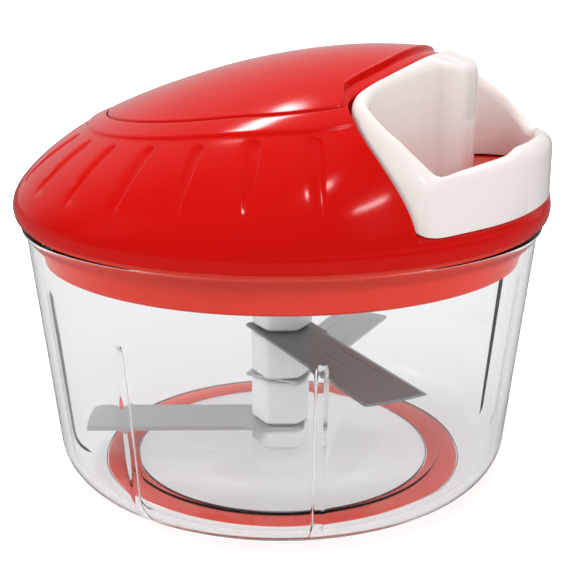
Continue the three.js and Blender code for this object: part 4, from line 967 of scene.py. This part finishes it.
def wall_side(start, direction, from_outside):
    """One side of the wall, from its softened bottom corner up and over the rounded top edge."""
    inset = np.concatenate([[0.4, 0.12, 0.0], edge_round * (1 - np.cos(q))])[None, :]
    p = start[:, None] + direction[:, None] * inset[..., None]
    bottom = notch_floor(np.hypot(p[:, :3, 0], p[:, :3, 1])) + seat_gap + np.array([0.0, 0.12, 0.4])
    w = inset[:, 3:] / thick
    top = wall_top(w if from_outside else 1 - w) - edge_round * (1 - np.sin(q))
    return np.concatenate([p, np.concatenate([bottom, top], axis=1)[..., None]], axis=-1)


outer_part = wall_side(outside, over, True)
inner_part = wall_side(opening, -over, False)[:, ::-1]
w = edge_round / thick + (1 - 2 * edge_round / thick) * np.linspace(0.1, 0.9, 9)[None]
plan = outside[:, None] + over[:, None] * (w * thick)[..., None]
middle_part = np.concatenate([plan, wall_top(w)[..., None]], axis=-1)
between = np.linspace(0, 1, 14)[1:-1][None, :, None]
plan = inner_part[:, -1:, :2] * (1 - between) + outer_part[:, :1, :2] * between
low = notch_floor(np.hypot(plan[..., 0], plan[..., 1])) + seat_gap
under_part = np.concatenate([plan, low[..., None]], axis=-1)
handle = skin("pull_handle_gloss", np.concatenate([outer_part, middle_part, inner_part, under_part], axis=1),
              loop=True)
cord_hole, pocket_half = 1.4, 2.9
knot_low, knot_high = span("cord_knot")
combine(handle, skin("bore", turned_along_x([[cord_hole, 34.0], [cord_hole, knot_high[0]]], 32)))
box_x = np.array([knot_low[0] - seat_gap, knot_high[0] + seat_gap])[[0, 1, 1, 0]]
box_y = np.array([-pocket_half, -pocket_half, pocket_half, pocket_half])
pocket = np.stack([np.stack([box_x, box_y, 0 * box_x + z], axis=1)
                   for z in (dome_edge_z, cord_z + pocket_half)])
combine(handle, skin("pocket", pocket))
handle.data.materials.append(gloss_white)
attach(handle, "handle")
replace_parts(handle, "pull_handle")
print("handle faces:", len(handle.data.polygons))

# %% [markdown]
# ## The knot and the eyelet
# An overhand knot, pulled tight in its pocket, keeps the cord from slipping out of the handle, and a smooth
# eyelet keeps the notch wall from fraying it. An overhand knot is a trefoil, which has a formula in sines,
# so the knot is the cord's own tube run along that closed path.

# %% Knot and eyelet
t = np.linspace(0, TAU, 90, endpoint=False)
trefoil = np.stack([0.42 * np.sin(3 * t), 0.52 * (np.sin(t) + 2 * np.sin(2 * t)),
                    0.52 * (np.cos(t) - 2 * np.cos(2 * t))], axis=1)
middle = np.array([(knot_low[0] + knot_high[0]) / 2, 0, cord_z])
knot = skin("cord_knot_tied", middle + tube(trefoil, 0.85, 10, upright=(1, 0, 0), closed=True), loop=True)
knot.data.materials.append(braid)
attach(knot, "handle")
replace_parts(knot, "cord_knot")

eyelet_r, tube_r = 4.2, 3.2
eyelet_end = guide_low[0] + 0.9
guide_profile = eased([[cord_hole, guide_low[0]], [eyelet_r, guide_low[0]], [eyelet_r, eyelet_end],
                       [tube_r, eyelet_end], [tube_r, guide_high[0]], [cord_hole, guide_high[0]]],
                      [0.5, 0.2, 0.2, 0.1, 0.3, 0.6], 5)
guide = skin("cord_guide_eyelet", turned_along_x(guide_profile, 64), loop=True)
guide.data.materials.append(satin_white)
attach(guide, "lid")
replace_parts(guide, "cord_guide")
print("knot and eyelet ready")

# %% [markdown]
# ## Hub and blades
# Hexagonal collars are stacked on the hub's post and clamp the blades between them, and six flats pass the
# lid's turn on where a round post would slip. Each blade is a flat strip with an arc for its tip and one edge
# ground to a wedge. The lowest blade has its rear corner rounded, so that it sweeps along the curved foot of
# the bowl. Each shape is a few rings or rows with a formula, so no edge has to be bevelled afterwards.

# %% Hub collars
hub_turn, corner_radius, collar_bore, post_bore, post_r = math.radians(-63), 2.3, 4.6, 2.8, 4.3


def hexagon(flats, rounding, steps=9):
    """A hexagon's outline: six corner centres on a circle, and a sixth of a circle round each."""
    reach = (flats / 2 - rounding) / math.cos(math.pi / 6)
    middle = hub_turn + (np.arange(6)[:, None] + 0.5) * TAU / 6
    a = middle + (np.linspace(0, 1, steps)[None] - 0.5) * TAU / 6
    x = reach * np.cos(middle) + rounding * np.cos(a)
    y = reach * np.sin(middle) + rounding * np.sin(a)
    return np.stack([x, y], axis=-1).reshape(-1, 2)


def collar(name, low, high, flats, bore):
    """A collar: the hexagon with chamfered, softened ends, and a round bore inside it."""
    insets = [1.0, 0.72, 0.45, 0.12, 0.0, 0.0, 0.12, 0.45, 0.72, 1.0]
    heights = [low, low + 0.04, low + 0.28, low + 0.62, low + 0.95,
               high - 0.95, high - 0.62, high - 0.28, high - 0.04, high]
    outlines = np.stack([hexagon(flats - 2 * inset, corner_radius) for inset in insets])
    a = np.arctan2(outlines[0, :, 1], outlines[0, :, 0])
    hole = bore * np.stack([np.cos(a), np.sin(a)], axis=-1)
    plan = np.concatenate([outlines, hole[None], hole[None]])
    level = np.array([*heights, high, low])[:, None, None] + 0 * plan[..., :1]
    piece = skin(name, np.concatenate([plan, level], axis=-1), loop=True, crease=35)
    piece.data.materials.append(satin_white)
    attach(piece, "blades")
    return piece


for name, flats in (("lower_collar", 13.8), ("upper_collar", 13.8), ("top_collar", 13.2)):
    low, high = span(name)
    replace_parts(collar(name + "_soft", low[2], high[2], flats, collar_bore), name)
core_low, core_high = span("hub_core")
foot_top = span("lower_blade")[0][2] - seat_gap
collar("hub_foot", core_low[2], foot_top, 13.8, post_bore)
post_low, post_high = foot_top - 0.7, core_high[2]
post_profile = eased([[post_bore, post_low], [post_r, post_low], [post_r, post_high], [post_bore, post_high]],
                     0.2, 4)
post = skin("hub_post", turned(post_profile, 64), loop=True)
post.data.materials.append(satin_white)
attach(post, "blades")
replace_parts(post, "hub_core")
print("hub pieces ready, top at", round(core_high[2], 2))


# %% Blades
def blade(name, node, turn, reach, corner_round, colour, painted_red_scale):
    """A blade along +X before its turn: rows run out, columns run across. Its end is the arc
    sqrt(reach^2 - y^2), less a quarter round at the rear corner; the front edge falls away as a wedge."""
    low, high = span(node)
    half, back, wedge, wedge_depth, wedge_start, haze_metal = 7.5, 5.3, 1.3, 0.42, 9.0, 0.12
    y = np.concatenate([np.linspace(-half, half - wedge, 40), np.linspace(half - wedge + 0.1, half, 8)])[None]
    past = np.clip(-y - (half - corner_round), 0, corner_round)
    tip = np.sqrt(reach**2 - y**2) - (corner_round - np.sqrt(np.maximum(corner_round**2 - past**2, 0)))
    tail = -back * (1 - 0.08 * np.clip((np.abs(y) / half - 0.92) / 0.08, 0, 1))
    u = np.concatenate([np.linspace(0, 0.9, 40), np.linspace(0.91, 1, 12)])[:, None]
    x = tail + (tip - tail) * u
    ground = wedge_depth * np.clip((y - (half - wedge)) / wedge, 0, 1) * np.clip((x - wedge_start) / 0.4, 0, 1)
    c, s = math.cos(turn), math.sin(turn)
    plan = [x * c - y * s, x * s + y * c]
    top = np.stack([*plan, high[2] - ground], axis=-1)
    bottom = np.stack([*plan, low[2] + 0 * ground], axis=-1)
    piece = plate(name, top, bottom, crease=15)
    piece.data.materials.append(brushed(name + "_steel", turn, colour, haze_metal, painted_red_scale))
    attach(piece, "blades")
    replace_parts(piece, node)


# Each row ends with the blade's turn, reach and corner, and the brightness and redness of its steel's colour.
# These two stand for the light on each blade: the upper blade's low brightness is painted shade, and the
# lowered red is a painted offset of the red light that the lid throws on the steel.
blade("lower_blade_ground", "lower_blade", math.radians(207), 48.8, 2.6, 0.51, 0.97)
blade("middle_blade_ground", "middle_blade", math.radians(90.4), 52.4, 0.6, 0.54, 0.97)
blade("upper_blade_ground", "upper_blade", math.radians(-36.4), 53.1, 0.6, 0.21, 0.92)
print("blades ready")

# %% [markdown]
# ## Pieces kept from the frame
# The works inside the lid are shaped as the solids say, and only need their finish. A solid's own material
# slots are filled anew, so the mesh stays as it was packed.

# %% Finishes on kept solids
kept = {
    steel: ["pivot_pin", "lid_screw_1", "lid_screw_2", "lid_screw_3", "lid_screw_4", "reel_axle",
            "spring_arbor", "thrust_washer", "return_spring", "pawl_pin_1", "pawl_pin_2"],
    satin_white: ["drive_bush", "drive_spindle", "reel"],
    dark_plastic: ["ratchet_ring", "spring_cover", "pawl_1", "pawl_2"],
    braid: ["cord_winding"],
}
for finish, names in kept.items():
    for name in names:
        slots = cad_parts[name].data.materials
        slots.clear()
        slots.append(finish)
print("kept solids:", sum(len(names) for names in kept.values()))

# %% [markdown]
# ## Sizes and the end
# The dressed model may not outgrow the imported one, or it would touch things that the solids pass. The
# dressed model's box is measured and printed in millimetres.

# %% Write the sizes
low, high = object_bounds()
print("visual box in mm:", [round(side / mm, 1) for side in high - low])
